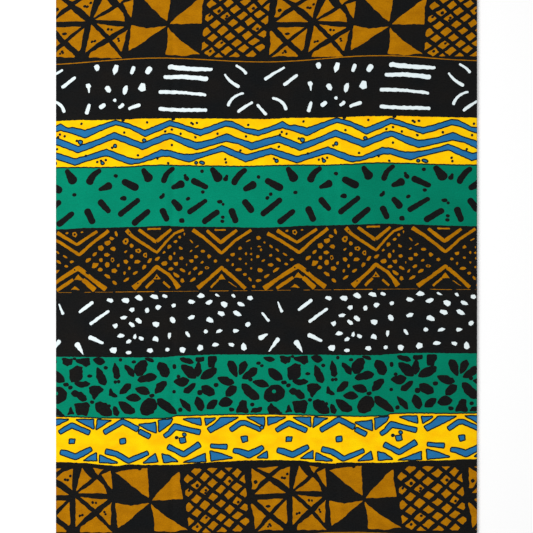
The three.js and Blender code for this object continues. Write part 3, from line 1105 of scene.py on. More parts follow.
@dataclass
class PetalBand(Band):
    """Black petals on green, in loose flowers, with cut-off ones along both edges."""

    POINTED: ClassVar[tuple[Petal, ...]] = petals(
        (-9, 3, 7, 7, 8), (-3.5, 14, 7, 38, 11, 0.6), (20, 8, 24, 30, 8.5, 0.65),
        (61, 2.5, 73, 7, 5.5, 0.7), (27, 50, 42, 37, 9), (48, 43, 67.5, 50, 9.5),
        (75, 50, 90, 34, 10.5), (35.5, 55.5, 55.5, 57, 9), (-6, 63, 16, 79, 15, 0.45),
        (25.5, 61, 47.5, 75.5, 11.5), (78, 57.5, 104, 78, 12, 0.38), (108.5, 3, 127, 9, 7),
        (110.5, 12, 130, 30, 13), (133.5, 7.5, 132.5, 28, 8), (100, 34.5, 121, 32.5, 11),
        (113.5, 49, 129.5, 37, 9, 0.4), (136.5, 30.5, 158, 17, 12), (108.5, 57.5, 123, 75, 7.5, 0.65),
        (131.5, 55, 138, 74.5, 11), (145, 71.5, 159, 60, 9), (174.5, 7, 185.5, 29, 9.5, 0.4),
        (197, 7.5, 189.5, 26, 10, 0.4), (213, 17.5, 193, 31, 10.5, 0.45), (159.5, 29.5, 182, 37, 10.5),
        (207, 35.5, 229, 42, 8.5), (161, 65.5, 180, 62, 12), (221.5, 3, 237, 6, 6.5),
        (228.5, 18, 247.5, 33, 12.5), (261, 35, 282.5, 36, 7.5), (256.5, 49, 268, 48.5, 9),
        (262, 48, 277.5, 58, 9.5),
    )
    BLUNT: ClassVar[tuple[Petal, ...]] = petals(
        (34, 11, 46, 27, 7), (62, 5, 51, 26, 14), (51, 32, 77, 27, 10), (80, 8, 91, 28, 13),
        (19, 67, 24, 80, 7.5), (57, 78, 74, 58, 19), (138, 41, 155.5, 52, 12),
        (171, 54.5, 185, 42, 10.5), (192.5, 38.5, 215.5, 59, 11.5), (222.5, 58, 250.5, 48, 21),
        blunt=True,
    )
    CUT_OFF: ClassVar[tuple[CutShape, ...]] = cuts(
        ((14, 43), (24, 54), (13, 52)),
        ((-14.5, 41), (0, 39.5), (4.5, 43.5), (-7.5, 58), (-12, 49)),
        ((131, 1.5), (140.5, 1.5), (140.5, 7), (131, 7)),
        ((147, 1.5), (158.5, 1.5), (154.5, 15.5), (147, 15)),
        ((192, 61.5), (197.5, 61.5), (201, 77), (185.5, 77), (189.5, 66)),
        ((244, 2), (258, 2), (257, 9), (251, 12), (245, 8)),
        ((262.5, 3), (281.5, 1.5), (282, 9), (277, 13), (266, 7)),
        ((254.5, 18), (265, 11.5), (272.5, 13.5), (271.5, 28), (264, 33.5), (256.5, 33.5)),
        ((261, 64), (277, 61.5), (281, 65), (278, 78.5), (265.5, 78)),
        ((228, 70), (232, 65), (247, 78.5), (229, 78.5)),
        ((256, 67.5), (261, 77), (250.5, 78)),
        ((205, 77), (207, 72), (219.5, 70.5), (217, 76.5)),
    )
    SPECKS: ClassVar[tuple[Blob, ...]] = blobs(
        (28, 4, 3.6), (46, 7, 5, 3), (8, 14.5, 5, 3.5), (21, 34, 3.6), (25.5, 33.5, 3.6),
        (12.5, 66.5, 3.6), (101, 14, 6, 4, 90), (100.5, 48, 4, 3.5), (106.5, 27.5, 4), (135.5, 49.5, 6),
        (70.5, 53, 6, 4), (109, 72.5, 5, 4.5), (157.5, 39.5, 5), (178.5, 73, 6, 4.5),
        (206.5, 66.5, 5, 4), (215, 10.5, 5, 3.5), (219.5, 14, 4, 3), (204, 32.5, 5, 4),
        (249.5, 37, 7, 4), (255.5, 41, 5.5, 4), (282, 25.5, 6, 3), (285, 61, 5, 3.5), (261, 2, 4, 2.6),
    )
    NICKS: ClassVar[tuple[Blob, ...]] = blobs((236, 49, 4.2, 3.4), (77, 76.5, 5, 4), (127, 12.5, 4.4, 3.6))

    def unit(self) -> list[Printed]:
        """Cut the petals and specks of one unit.

        Returns:
            Their black patches and, on them, the green nicks.
        """
        hand = Hand(self.seed, wobble=1.1, spread=0.85)
        black = self.POINTED + self.BLUNT + self.CUT_OFF + self.SPECKS
        return self.cut(Ink.BLACK, black, hand) + self.cut(Ink.GREEN, self.NICKS, hand)


@dataclass
class DiamondBand(Band):
    """Blue chevrons round small squares on yellow, with triangles in the corners between."""

    CHEVRONS: ClassVar[tuple[Trail, ...]] = trails(
        ((5.5, 19.8, 6), (31, 5, 7), (52, 16, 7)),
        ((53, 18.2, 6), (68, 26, 7)),
        ((87.5, 25.8, 5.4), (94.5, 21, 6), (102, 12.5, 8), (116, 16, 6), (136, 20.8, 6.6)),
        ((177, 18.2, 6), (190.5, 8.8, 6.6), (197, 8.6, 6), (208, 13.5, 5.6), (218.5, 18.3, 5.6)),
        ((239, 19.4, 5.6), (248, 14, 6), (256, 9.5, 7), (267, 14.2, 6.2), (280.5, 19.8, 6.6)),
        ((7.5, 45, 7), (22.5, 48.8, 7), (39, 58.4, 6.4), (65.5, 47.5, 5.8)),
        ((92, 39.5, 7), (103, 44.8, 6.2), (113.7, 50.5, 7), (124, 43.8, 7), (135.5, 36.5, 7.8)),
        ((180.8, 45.5, 5.6), (190, 47.5, 7), (202, 51.7, 9), (213.5, 46.3, 8), (221.3, 41.5, 5.6)),
        ((240.2, 46, 6.4), (249.5, 48, 8), (261, 52.5, 7.6), (271.5, 47.2, 7.6), (283, 41.5, 5.8)),
        ((150, 39, 5.4), (161, 40, 5.4), (172.5, 40.8, 6.6)),
    )
    CORNERS: ClassVar[tuple[CutShape, ...]] = cuts(
        ((-3.5, 1.8), (16.5, 3), (8, 7), (-5, 16)),
        ((52, 9), (76, 6), (76.5, 21), (66, 17), (60, 14)),
        ((79, 4), (98.5, 1.5), (96, 8), (80, 20)),
        ((112, 2), (136, 1), (137.5, 11), (125, 8)),
        ((142, 1.5), (159.5, 1), (143.3, 11.8)),
        ((163, 1), (188.5, 0.8), (164, 14), (150, 21.5), (145.5, 15.5), (153, 11)),
        ((199, 0.5), (223.5, 1), (223, 13.5), (212, 8)),
        ((227, 1), (252.5, 1), (240, 8), (228, 12.3)),
        ((261, 1.5), (286, 1.5), (286.5, 15.3)),
        ((-0.5, 50), (27, 61.5), (-0.5, 60.5)),
        ((75.5, 48), (79, 60), (58, 61.5)),
        ((84, 49), (95, 52), (106, 60), (86, 61)),
        ((143, 49), (144, 60.5), (112, 61.5)),
        ((149, 45.5), (166, 50), (180.5, 56), (160, 58.5), (151, 60)),
        ((227, 46.5), (227.5, 56.5), (213, 56)),
        ((290, 46.5), (290.5, 58), (271, 57.5)),
        ((27, 28.5), (34.5, 27.5), (35, 34.5), (27.5, 35.5)),
        ((107.5, 28), (115.5, 27), (117, 34), (109, 35)),
        ((191, 27.5), (199.5, 26.5), (200.5, 33.5), (193, 35)),
        ((252.5, 28), (260.5, 28), (259.5, 34.5), (252, 34.5)),
    )
    RINGS: ClassVar[tuple[Blob, ...]] = blobs((114.5, 23.5, 4.8), (219.5, 15, 5))
    SPECKS: ClassVar[tuple[Blob, ...]] = blobs((104, 27.5, 3.6))

    def unit(self) -> list[Printed]:
        """Cut the diamonds of one unit.

        Returns:
            Their lines and fillings, and the specks.
        """
        hand = Hand(self.seed, wobble=0.45, step=2.8, spread=1.05)
        patches = self.keyed(Ink.BLUE, self.CORNERS + self.CHEVRONS + self.RINGS, hand)
        return patches + self.cut(Ink.KEYLINE, self.SPECKS, hand)


class WaxPrint:
    """The whole print: its bands in order down the cloth, from repeat to repeat."""

    MARGIN: ClassVar[float] = 8.0  # how far the print runs on past the cloth's edges

    # How the cloth was pulled when it was laid out.
    PULL: ClassVar[float] = 5.6  # towards the fold
    PULL_FROM: ClassVar[float] = 190.0
    PULL_WIDTH: ClassVar[float] = 60.0
    PULL_LEVEL: ClassVar[float] = 45.0  # how far up it is at its most
    PULL_REACH: ClassVar[float] = 110.0  # how far from there it starts to fade
    PULL_FADE: ClassVar[float] = 300.0  # and has faded out
    SLACK: ClassVar[float] = 1.3  # away from the fold
    SLACK_FROM: ClassVar[float] = 40.0
    SLACK_WIDTH: ClassVar[float] = 60.0
    FOOT_SLACK: ClassVar[float] = 3.6  # how much more of it there is at the foot
    FOOT_FROM: ClassVar[float] = -235.0
    FOOT_DEPTH: ClassVar[float] = 50.0
    SAG: ClassVar[float] = 1.4  # how much lower the print lies beside the fold

    def __init__(self) -> None:
        """Set out the bands of one repeat, from the top."""
        self.bands: list[Band] = [
            BlockBand(
                height=97.6, width=294.3, ground=Ink.BLACK, seed=11,
                top=((0, 1.5), (10, 2.5), (25, 3.5), (40, 1.5), (60, 2.5), (100, 3), (140, 0.5), (160, -0.5),
                     (200, -2), (240, -2), (270, -1)),
            ),
            RayBand(height=83.4, width=301.0, ground=Ink.BLACK, seed=22),
            ZigzagBand(
                height=63.6, width=301.0, ground=Ink.YELLOW, seed=33,
                top=((0, -0.5), (30, -1), (60, -2), (100, -2), (150, -1), (190, -0.5), (220, 0.3),
                     (270, -1)),
            ),
            DashBand(
                height=82.3, width=299.7, ground=Ink.GREEN, seed=44, edge_line=True,
                top=((0, 0), (40, -0.6), (60, -2), (85, -2.5), (110, -1.5), (140, -0.6), (200, 0.4),
                     (260, -0.6)),
            ),
            ChevronBand(
                height=87.3, width=298.3, ground=Ink.BLACK, seed=55,
                top=((0, -0.7), (50, -1.5), (90, -2.5), (120, -1), (180, 0), (200, 1), (220, 1.3),
                     (250, 0.5), (280, -0.8)),
            ),
            PebbleBand(height=87.2, width=297.0, ground=Ink.BLACK, seed=66),
            PetalBand(
                height=82.7, width=295.6, ground=Ink.GREEN, seed=77,
                top=((0, 0), (40, 0.8), (80, 1.3), (120, -1), (160, -1.7), (250, -0.7)),
            ),
            DiamondBand(
                height=61.3, width=294.3, ground=Ink.YELLOW, seed=88, edge_line=True,
                top=((0, 0), (40, 0.3), (60, 1.2), (95, 0.8), (102, -2), (150, -2.8), (180, -3), (230, -2.8),
                     (260, -1.8), (285, -1)),
            ),
        ]
        self.repeat = sum(band.height for band in self.bands)

    def patches(self, left: float, right: float, half_length: float) -> list[Printed]:
        """Lay the print over a stretch of cloth.

        Args:
            left: The stretch's left end, from the middle of the cloth, in mm.
            right: Its right end.
            half_length: How far the cloth reaches up and down from its middle.

        Returns:
            The patches of ink, on x to the right and y up the cloth.
        """
        laid: list[Printed] = []
        reach = half_length + self.MARGIN
        later = -2
        top = FIRST_TOP + self.repeat
        while top > -reach:
            for i, band in enumerate(self.bands):
                if top - band.height < reach and top > -reach:
                    # The main repeat ends with its blocks, so the first band is of the one before.
                    laid += self.band_patches(band, later if i == 0 else later + 1, top, left, right)
                top -= band.height
            later += 1
        return laid

    def band_patches(self, band: Band, later: int, top: float, left: float, right: float) -> list[Printed]:
        """Lay one band over a stretch of cloth.

        Args:
            band: The band.
            later: How many repeats down the cloth from its main one it lies.
            top: How high its top edge stands.
            left: The stretch's left end.
            right: Its right end.

        Returns:
            The band's patches.
        """
        shift = UNIT_LEFT + REPEAT_DRIFT * later
        width = band.width - REPEAT_NARROWING * later
        laid = band.ground_patch(left - self.MARGIN - shift, right + self.MARGIN - shift)
        marks = band.unit()
        for unit in range(math.floor((left - shift) / width) - 1, math.ceil((right - shift) / width) + 1):
            for mark in marks:
                mark = band.repeated(mark, later, shift + unit * width)
                moved = mark.placed(unit * width, width / band.width)
                across = [x + shift for x, _ in moved.outline]
                if min(across) < right + self.MARGIN and max(across) > left - self.MARGIN:
                    laid.append(moved)
        found = []
        for patch in laid:
            flat = [(x + shift, top - down + PRINT_SKEW * (x + shift)) for x, down in patch.outline]
            found.append(Printed(patch.ink, tuple(self.pulled(x, y) for x, y in flat)))
        return found

    def pulled(self, x: float, y: float) -> Point:
        """Move a place of the print to where the cloth was pulled when it was laid out.

        Args:
            x: The place, to the right of the middle of the cloth.
            y: How far up the cloth it lies.

        Returns:
            Where it lies on the cloth: drawn towards the fold, most half way up, with a little
            slack in front of that and more of it near the foot of the cloth.
        """
        by_fold = smooth((x - self.PULL_FROM) / self.PULL_WIDTH)
        off_level = abs(y - self.PULL_LEVEL) - self.PULL_REACH
        half_way = 1 - smooth(off_level / (self.PULL_FADE - self.PULL_REACH))
        slack = self.SLACK + self.FOOT_SLACK * smooth((self.FOOT_FROM - y) / self.FOOT_DEPTH)
        slack *= smooth((x - self.SLACK_FROM) / self.SLACK_WIDTH) * (1 - by_fold)
        return (x + self.PULL * half_way * by_fold - slack, y - self.SAG * by_fold)

    def ground_at(self, x: float, y: float) -> Ink:
        """Find the ground of the band at a place.

        Args:
            x: The place, to the right of the middle of the cloth.
            y: How far up the cloth it lies.

        Returns:
            The ground's ink.
        """
        down = (FIRST_TOP - y + PRINT_SKEW * x) % self.repeat
        for band in self.bands:
            if down < band.height:
                return band.ground
            down -= band.height
        return self.bands[-1].ground


@dataclass(frozen=True)
class Crease:
    """A crease left by earlier folding, in mm, as in the model of the solids.

    One that runs along the cloth stands at an x, one that runs across it at a y. A rise above 0
    is a ridge's height, one below 0 a trough's depth; before and after are its half-widths.
    """

    along: bool
    at: float
    rise: float
    before: float
    after: float
    sway: float
    fade: float
    sharp: bool = False


@dataclass(frozen=True)
class Wave:
    """A broad, shallow undulation, in mm."""

    height: float
    across: float
    along: float
    phase: float


@dataclass
class ClothForm:
    """The lie of the folded cloth: where each place of the flat cut has gone."""

    cloth_width: float = 1143.0
    cloth_length: float = 914.4
    solid_wall: float = 1.0
    layer_gap: float = 0.3
    turn_radius: float = 1.3  # of the middle of the wall
    turn_return: float = 8.0  # how far the upper piece runs back under itself
    crest_lift: float = 2.3  # the soft roll beside the fold
    crest_distance: float = 20.0  # from the turn to its top
    roll_width: float = 62.0  # and to where it has died away
    ease: float = 1.2  # air that the upper half keeps between its creases
    settle_width: float = 46.0  # margin over which it comes down at its free edges
    edge_wave_share: float = 0.4  # how much of the undulations a free edge keeps
    cut_wander: float = 0.8  # how far the cut ends wander inwards
    cut_length: float = 190.0  # length over which they wander once
    cut_phase: float = 1.2
    cut_reach: float = 62.0  # how far from the ends the cloth follows them
    under_inset: float = 1.6  # how far the lower half stays behind the edges above it
    edge_settle: float = 0.95  # how much closer than the solids the free edges lie
    sway_length: float = 420.0  # length over which a crease wanders once
    creases: tuple[Crease, ...] = (
        Crease(along=True, at=-127.0, rise=-1.1, before=8.0, after=7.0, sway=1.0, fade=0.15),
        Crease(along=True, at=76.0, rise=-0.8, before=13.0, after=8.0, sway=1.5, fade=0.3),
        Crease(along=True, at=100.0, rise=1.5, before=9.0, after=78.0, sway=0.8, fade=0.1, sharp=True),
        Crease(along=False, at=-190.0, rise=-1.0, before=9.0, after=14.0, sway=2.5, fade=0.6),
        Crease(along=False, at=237.0, rise=-0.7, before=10.0, after=12.0, sway=3.0, fade=0.4),
    )
    waves: tuple[Wave, ...] = (
        Wave(height=0.35, across=330.0, along=610.0, phase=0.6),
        Wave(height=0.25, across=-190.0, along=340.0, phase=2.1),
        Wave(height=0.15, across=120.0, along=-230.0, phase=4.0),
    )

    TURN_STEPS: ClassVar[int] = 12
    LINE_STEPS: ClassVar[int] = 76  # from end to end of a line that the mesh must follow
    LINE_END: ClassVar[float] = 2.0  # how far before the cut ends a crease's own line stops

    # Where the mesh has points of its own beside a crease, across the cloth and up it.
    COLUMN_STEP: ClassVar[float] = 1.3
    COLUMNS_BEFORE: ClassVar[float] = 1.3  # how far before it they start, over its half-width
    COLUMNS_AFTER: ClassVar[float] = 1.2
    COLUMNS_WIDEST: ClassVar[float] = 14.0  # the most of its far side that they cover
    COLUMNS_APART: ClassVar[float] = 0.4  # the least distance between any two
    ROW_STEP: ClassVar[float] = 2.4
    ROWS_PAST: ClassVar[float] = 3.0
    ROWS_APART: ClassVar[float] = 0.9
    TURN_COLUMN_STEP: ClassVar[float] = 1.5
    TURN_COLUMNS: ClassVar[range] = range(1, 8)

    def __post_init__(self) -> None:
        """Work out the places and lengths that follow from the sizes."""
        self.right = self.cloth_width / 4  # the fold's place
        self.half_length = self.cloth_length / 2
        self.outer_radius = self.turn_radius + self.solid_wall / 2
        self.turn_x = self.right - self.outer_radius  # where the turn begins
        self.turn_length = math.pi * self.outer_radius
        # Where the upper piece ends under the fold, measured along the cloth.
        self.part_line = self.turn_x + self.turn_length + self.turn_return

    def crease_height(self, crease: Crease, x: float, y: float) -> float:
        """Work out the height of one crease at a place.

        Args:
            crease: The crease.
            x: The place, to the right of the middle of the cloth.
            y: How far up the cloth it lies.

        Returns:
            The height, below 0 in a trough.
        """
        over, run, half_run = (x, y, self.half_length) if crease.along else (y, x, self.right)
        wander = crease.sway * math.sin(math.tau * run / self.sway_length + crease.at)
        off = over - crease.at - wander
        near = min(1.0, max(0.0, 1 - abs(off) / (crease.before if off < 0 else crease.after)))
        left = 1 - crease.fade * math.cos(math.pi * run / (2 * half_run))
        return crease.rise * left * (near**2 if crease.sharp else smooth(near))

    def roll_height(self, distance: float) -> float:
        """Work out the height of the roll beside the fold.

        Args:
            distance: How far from the turn.

        Returns:
            How far the roll lifts the cloth there.
        """
        turn_lift = 2 * self.turn_radius - self.solid_wall - self.layer_gap
        if distance < self.crest_distance:
            short_of = 1 - distance / self.crest_distance
            return self.crest_lift - (self.crest_lift - turn_lift) * short_of**2
        dying = (distance - self.crest_distance) / (self.roll_width - self.crest_distance)
        return self.crest_lift * (1 - smooth(dying))

    def outer_height(self, x: float, y: float) -> float:
        """Work out the height of the upper half's printed face.

        Args:
            x: A place, to the right of the middle of the cloth.
            y: How far up the cloth it lies.

        Returns:
            How far above the surface the face lies there.
        """
        from_turn = max(0.0, self.turn_x - x)
        away = smooth(from_turn / self.roll_width)
        from_edge = min(x + self.right, self.half_length - abs(y))
        inside = smooth(from_edge / self.settle_width)
        waves = sum(
            w.height * (1 + math.sin(math.tau * (x / w.across + y / w.along) + w.phase)) for w in self.waves
        )
        waves *= self.edge_wave_share + (1 - self.edge_wave_share) * inside
        creases = sum(self.crease_height(c, x, y) for c in self.creases)
        lie = max(0.0, self.ease * inside + waves + creases)
        resting = 2 * self.solid_wall + self.layer_gap - self.edge_settle * (1 - inside) * away
        return resting + lie * away + self.roll_height(from_turn)

    def place(self, along: float, y: float) -> Vector:
        """Return where a place of the printed face lies.

        Args:
            along: Its distance from the middle of the upper half, measured along the cloth, in mm.
            y: Its place up the cloth, in mm.

        Returns:
            The place in space, in metres.
        """
        back = self.cut_wander / 2 * (1 + math.sin(math.tau * along / self.cut_length + self.cut_phase))
        near_end = smooth((abs(y) - self.half_length + self.cut_reach) / self.cut_reach)
        y -= math.copysign(back * near_end, y)
        if along <= self.turn_x:
            return Vector((along, y, self.outer_height(along, y))) * MM
        turned = (along - self.turn_x) / self.outer_radius
        if turned < math.pi:
            radius = self.outer_radius
            return Vector((self.turn_x + radius * math.sin(turned), y, radius * (1 + math.cos(turned)))) * MM
        return Vector((2 * self.turn_x + self.turn_length - along, y, 0.0)) * MM

    def normal(self, along: float, y: float, reach: float = 0.4) -> Vector:
        """Find which way the printed face looks at a place.

        Args:
            along: The place, measured along the cloth, in mm.
            y: How far up the cloth it lies.
            reach: How far to each side the slope is read.

        Returns:
            A direction of length 1.
        """
        across = self.place(along + reach, y) - self.place(along - reach, y)
        up = self.place(along, y + reach) - self.place(along, y - reach)
        return across.cross(up).normalized()

    def turn_stations(self) -> list[float]:
        """Return places along the cloth from the start of the turn to its end."""
        return [self.turn_x + self.turn_length * i / self.TURN_STEPS for i in range(self.TURN_STEPS + 1)]

    def columns(self, left: float, right: float, step: float) -> list[float]:
        """Set out the mesh's own points across the cloth, closer at creases and beside the turn.

        Args:
            left: Where the first may stand.
            right: Where the last may stand.
            step: How far apart they plainly are.

        Returns:
            Their places.
        """
        places = [left + step * i for i in range(1, int((right - left) / step))]
        for crease in self.creases:
            if crease.along:
                low = crease.at - crease.before * self.COLUMNS_BEFORE
                high = crease.at + min(crease.after, self.COLUMNS_WIDEST) * self.COLUMNS_AFTER
                count = int((high - low) / self.COLUMN_STEP)
                places += [low + self.COLUMN_STEP * i for i in range(count)]
        places += [self.turn_x - self.TURN_COLUMN_STEP * i for i in self.TURN_COLUMNS]
        return self.kept_apart([p for p in places if left < p < right], self.COLUMNS_APART)

    def rows(self, reach: float, step: float) -> list[float]:
        """Set out the mesh's own points up the cloth, closer at creases.

        Args:
            reach: How far from the middle they may stand.
            step: How far apart they plainly are.

        Returns:
            Their places.
        """
        places = [-reach + step * i for i in range(1, int(2 * reach / step))]
        for crease in self.creases:
            if not crease.along:
                low = crease.at - crease.before - self.ROWS_PAST
                high = crease.at + crease.after + self.ROWS_PAST
                places += [low + self.ROW_STEP * i for i in range(int((high - low) / self.ROW_STEP))]
        return self.kept_apart([p for p in places if abs(p) < reach], self.ROWS_APART)

    @staticmethod
    def kept_apart(places: Sequence[float], least: float) -> list[float]:
        """Sort places and drop each that is no more than the least distance past the one before."""
        rising = sorted(places)
        return [p for i, p in enumerate(rising) if i == 0 or p - rising[i - 1] > least]

    def bending_lines(self, left: float, right: float, half_length: float) -> list[list[Point]]:
        """Set out lines up a stretch of the flat cut that the mesh must follow.

        Args:
            left: Where the stretch begins.
            right: Where it ends.
            half_length: How far it reaches up and down.

        Returns:
            The lines: those of the turn reach its ends, and those of a crease stop just before.
        """
        shares = [2 * i / self.LINE_STEPS - 1 for i in range(self.LINE_STEPS + 1)]
        lines = []
        if left < self.turn_x < right:
            lines = [[(x, half_length * share) for share in shares] for x in self.turn_stations()]
        for crease in self.creases:
            if crease.along and crease.sharp and left < crease.at < right:
                ups = [(half_length - self.LINE_END) * share for share in shares]
                sway = [crease.sway * math.sin(math.tau * y / self.sway_length + crease.at) for y in ups]
                lines.append([(crease.at + off, y) for off, y in zip(sway, ups)])
        return lines


Value = bpy.types.NodeSocket | float | tuple[float, ...]
Mottle = tuple[float, ...]


class ClothNodes:
    """The shader nodes of one material, which read the cloth's own map along its threads."""

    MAP: ClassVar[str] = "cloth"  # in metres on the flat cut
    NOISE_RANGE: ClassVar[tuple[float, float]] = (0.3, 0.7)  # where most of a noise's values lie
    WEAVE_PITCH: ClassVar[float] = 0.00046  # from one thread to the next
    WAVE_RATE: ClassVar[float] = 20.0  # radians that a wave texture turns for each unit of scale
    THREAD_STRAY: ClassVar[float] = 1.2  # how unevenly the threads run
    THREAD_DETAIL: ClassVar[float] = 1.0
    THREAD_DETAIL_SCALE: ClassVar[float] = 0.6

    def __init__(self, material: bpy.types.Material) -> None:
        """Clear the material's nodes and add the one that reads the map.

        Args:
            material: The material, which uses nodes.
        """
        self.tree = material.node_tree
        self.tree.nodes.clear()
        reader = self.tree.nodes.new("ShaderNodeUVMap")
        reader.uv_map = self.MAP
        self.place = reader.outputs["UV"]

    def add(self, kind: str, sockets: dict[str | int, Value], **options: str) -> bpy.types.Node:
        """Add a node.

        Args:
            kind: Its type.
            sockets: What is linked to each of its inputs, or the value that one is set to.
            options: Its options, which are set first.

        Returns:
            The node.
        """
        node = self.tree.nodes.new(kind)
        for option, choice in options.items():
            setattr(node, option, choice)
        for socket, value in sockets.items():
            if isinstance(value, bpy.types.NodeSocket):
                self.tree.links.new(value, node.inputs[socket])
            else:
                node.inputs[socket].default_value = value
        return node

    def ramp(self, value: Value, across: tuple[float, float], to: tuple[float, float]) -> Value:
        """Turn one range of a value into another, and hold it at both ends.

        Args:
            value: The value.
            across: The range that it is taken over.
            to: What that becomes.

        Returns:
            The new value.
        """
        limits = {"From Min": across[0], "From Max": across[1], "To Min": to[0], "To Max": to[1]}
        return self.add("ShaderNodeMapRange", {"Value": value, **limits}).outputs["Result"]

    def mottled(self, mottle: Mottle, to: tuple[float, float]) -> Value:
        """Vary a value over the cloth in soft patches.

        Args:
            mottle: The patches' finer noise, their stretch across and up, and their size.
            to: The range that the value varies over.

        Returns:
            The value.
        """
        detail, across, up, size = mottle
        vector = self.add("ShaderNodeMapping", {"Vector": self.place, "Scale": (across, up, 1)})
        inputs = {"Vector": vector.outputs["Vector"], "Scale": 1 / size, "Detail": detail}
        noise = self.add("ShaderNodeTexNoise", inputs).outputs["Fac"]
        return self.ramp(noise, self.NOISE_RANGE, to)

    def times(self, a: Value, b: Value) -> Value:
        """Return the product of two values."""
        return self.add("ShaderNodeMath", {0: a, 1: b}, operation="MULTIPLY").outputs["Value"]

    def threads(self, direction: str) -> Value:
        """Raise the threads that follow each other in one direction.

        Args:
            direction: X for those that follow each other across the cloth, Y for up it.

        Returns:
            How high the cloth stands, from 0 to 1.
        """
        inputs = {
            "Vector": self.place,
            "Scale": math.tau / (self.WAVE_RATE * self.WEAVE_PITCH),
            "Distortion": self.THREAD_STRAY,
            "Detail": self.THREAD_DETAIL,
            "Detail Scale": self.THREAD_DETAIL_SCALE,
        }
        return self.add("ShaderNodeTexWave", inputs, bands_direction=direction).outputs["Fac"]


@dataclass(frozen=True)
class InkFinish:
    """How one ink looks on the cotton: its colour, how it mottles, its gloss and any painted shade."""

    name: str
    colour: tuple[float, float, float]
    warmer: tuple[float, float, float]  # what its colour mottles towards
    patch_size: float  # size of the mottling's patches, in metres
    patchiness: float  # how far its lightness strays
    roughness: float
    specular: float = 0.03
    painted_shade_depth: float = 0.0  # painted shade: how much darker the ink is painted towards the fold, for the light that falls off over the cloth's right part

    PAINTED_SHADE_SPAN: ClassVar[tuple[float, float]] = (-0.03, 0.21)  # where along the cloth the painted shade begins and where it reaches its full depth
    # How much finer noise each mottling holds, how closely its patches follow each other across
    # the cloth and up it, and how large they are in metres where that isn't the ink's own.
    PATCHES: ClassVar[Mottle] = (3.0, 0.6, 1.0)
    FINE: ClassVar[Mottle] = (2.0, 1.0, 1.0, 0.0016)
    SLUBS: ClassVar[Mottle] = (1.0, 0.12, 1.0, 0.0009)
    GLOSS: ClassVar[Mottle] = (2.0, 1.0, 1.0, 0.004)
    GLOSS_STRAY: ClassVar[float] = 0.05
    BUMP_STRENGTH: ClassVar[float] = 0.35
    BUMP_HEIGHT: ClassVar[float] = 0.00012

    def material(self) -> bpy.types.Material:
        """Build the ink's material.

        Returns:
            A node material that reads the cloth's own map.
        """
        material = bpy.data.materials.new(self.name)
        material.use_nodes = True
        cloth = ClothNodes(material)
        colour = self.tint(cloth)
        gloss = (self.roughness - self.GLOSS_STRAY, self.roughness + self.GLOSS_STRAY)
        weave = cloth.times(cloth.threads("X"), cloth.threads("Y"))
        bump = {"Height": weave, "Strength": self.BUMP_STRENGTH, "Distance": self.BUMP_HEIGHT}
        look = {
            "Base Color": colour,
            "Roughness": cloth.mottled(self.GLOSS, gloss),
            "Specular IOR Level": self.specular,
            "Normal": cloth.add("ShaderNodeBump", bump).outputs["Normal"],
        }
        shader = cloth.add("ShaderNodeBsdfPrincipled", look)
        cloth.add("ShaderNodeOutputMaterial", {"Surface": shader.outputs["BSDF"]})
        return material

    def tint(self, cloth: ClothNodes) -> Value:
        """Build the ink's colour.

        Args:
            cloth: The material's nodes.

        Returns:
            The colour: two shades in soft patches, with fine mottling, slubs and the painted shade that
                darkens it towards the fold.
        """
        patches = cloth.mottled((*self.PATCHES, self.patch_size), (0.0, 1.0))
        shades = {"A": (*self.colour, 1), "B": (*self.warmer, 1), "Factor": patches}
        mixed = cloth.add("ShaderNodeMix", shades, data_type="RGBA").outputs["Result"]
        stray, half = self.patchiness, self.patchiness / 2
        fine = cloth.mottled(self.FINE, (1 - stray, 1 + stray))
        slub = cloth.mottled(self.SLUBS, (1 - half, 1 + half))
        across = cloth.add("ShaderNodeSeparateXYZ", {"Vector": cloth.place}).outputs["X"]
        # Painted shade: the colour darkens across the cloth towards the fold, in place of the light falling
        # off there.
        painted_shade_ramp = cloth.ramp(across, self.PAINTED_SHADE_SPAN, (1.0, 1 - self.painted_shade_depth))
        shade = cloth.times(cloth.times(fine, slub), painted_shade_ramp)
        tinted = cloth.add("ShaderNodeVectorMath", {0: mixed, "Scale": shade}, operation="SCALE")
        return tinted.outputs["Vector"]


FINISHES: dict[Ink, InkFinish] = {
    Ink.BLACK: InkFinish(
        "black_ink", (0.0056, 0.0064, 0.0070), (0.0086, 0.0076, 0.0068),
        patch_size=0.03, patchiness=0.28, roughness=0.75,
    ),
    Ink.GREEN: InkFinish(
        "green_ink", (0.0004, 0.188, 0.109), (0.0004, 0.222, 0.131),
        # The green carries painted shade, darker towards the fold where the light falls off.
        patch_size=0.035, patchiness=0.10, roughness=0.76, painted_shade_depth=0.17,
    ),
    Ink.YELLOW: InkFinish(
        "yellow_ink", (0.90, 0.597, 0.0008), (0.88, 0.440, 0.0008),
        patch_size=0.016, patchiness=0.04, roughness=0.78,
    ),
    Ink.OCHRE: InkFinish(
        "ochre_ink", (0.322, 0.122, 0.0006), (0.408, 0.162, 0.0008),
        patch_size=0.012, patchiness=0.13, roughness=0.76,
    ),
    Ink.BLUE: InkFinish(
        "blue_ink", (0.0122, 0.117, 0.288), (0.0175, 0.151, 0.356),
        patch_size=0.014, patchiness=0.10, roughness=0.76,
    ),
    Ink.WHITE: InkFinish(
        "bare_white", (0.690, 0.785, 0.810), (0.720, 0.800, 0.805),
        patch_size=0.03, patchiness=0.03, roughness=0.8,
    ),
    Ink.KEYLINE: InkFinish(
        "keyline_ink", (0.0060, 0.0110, 0.0140), (0.0072, 0.0120, 0.0140),
        patch_size=0.05, patchiness=0.12, roughness=0.75,
    ),
}


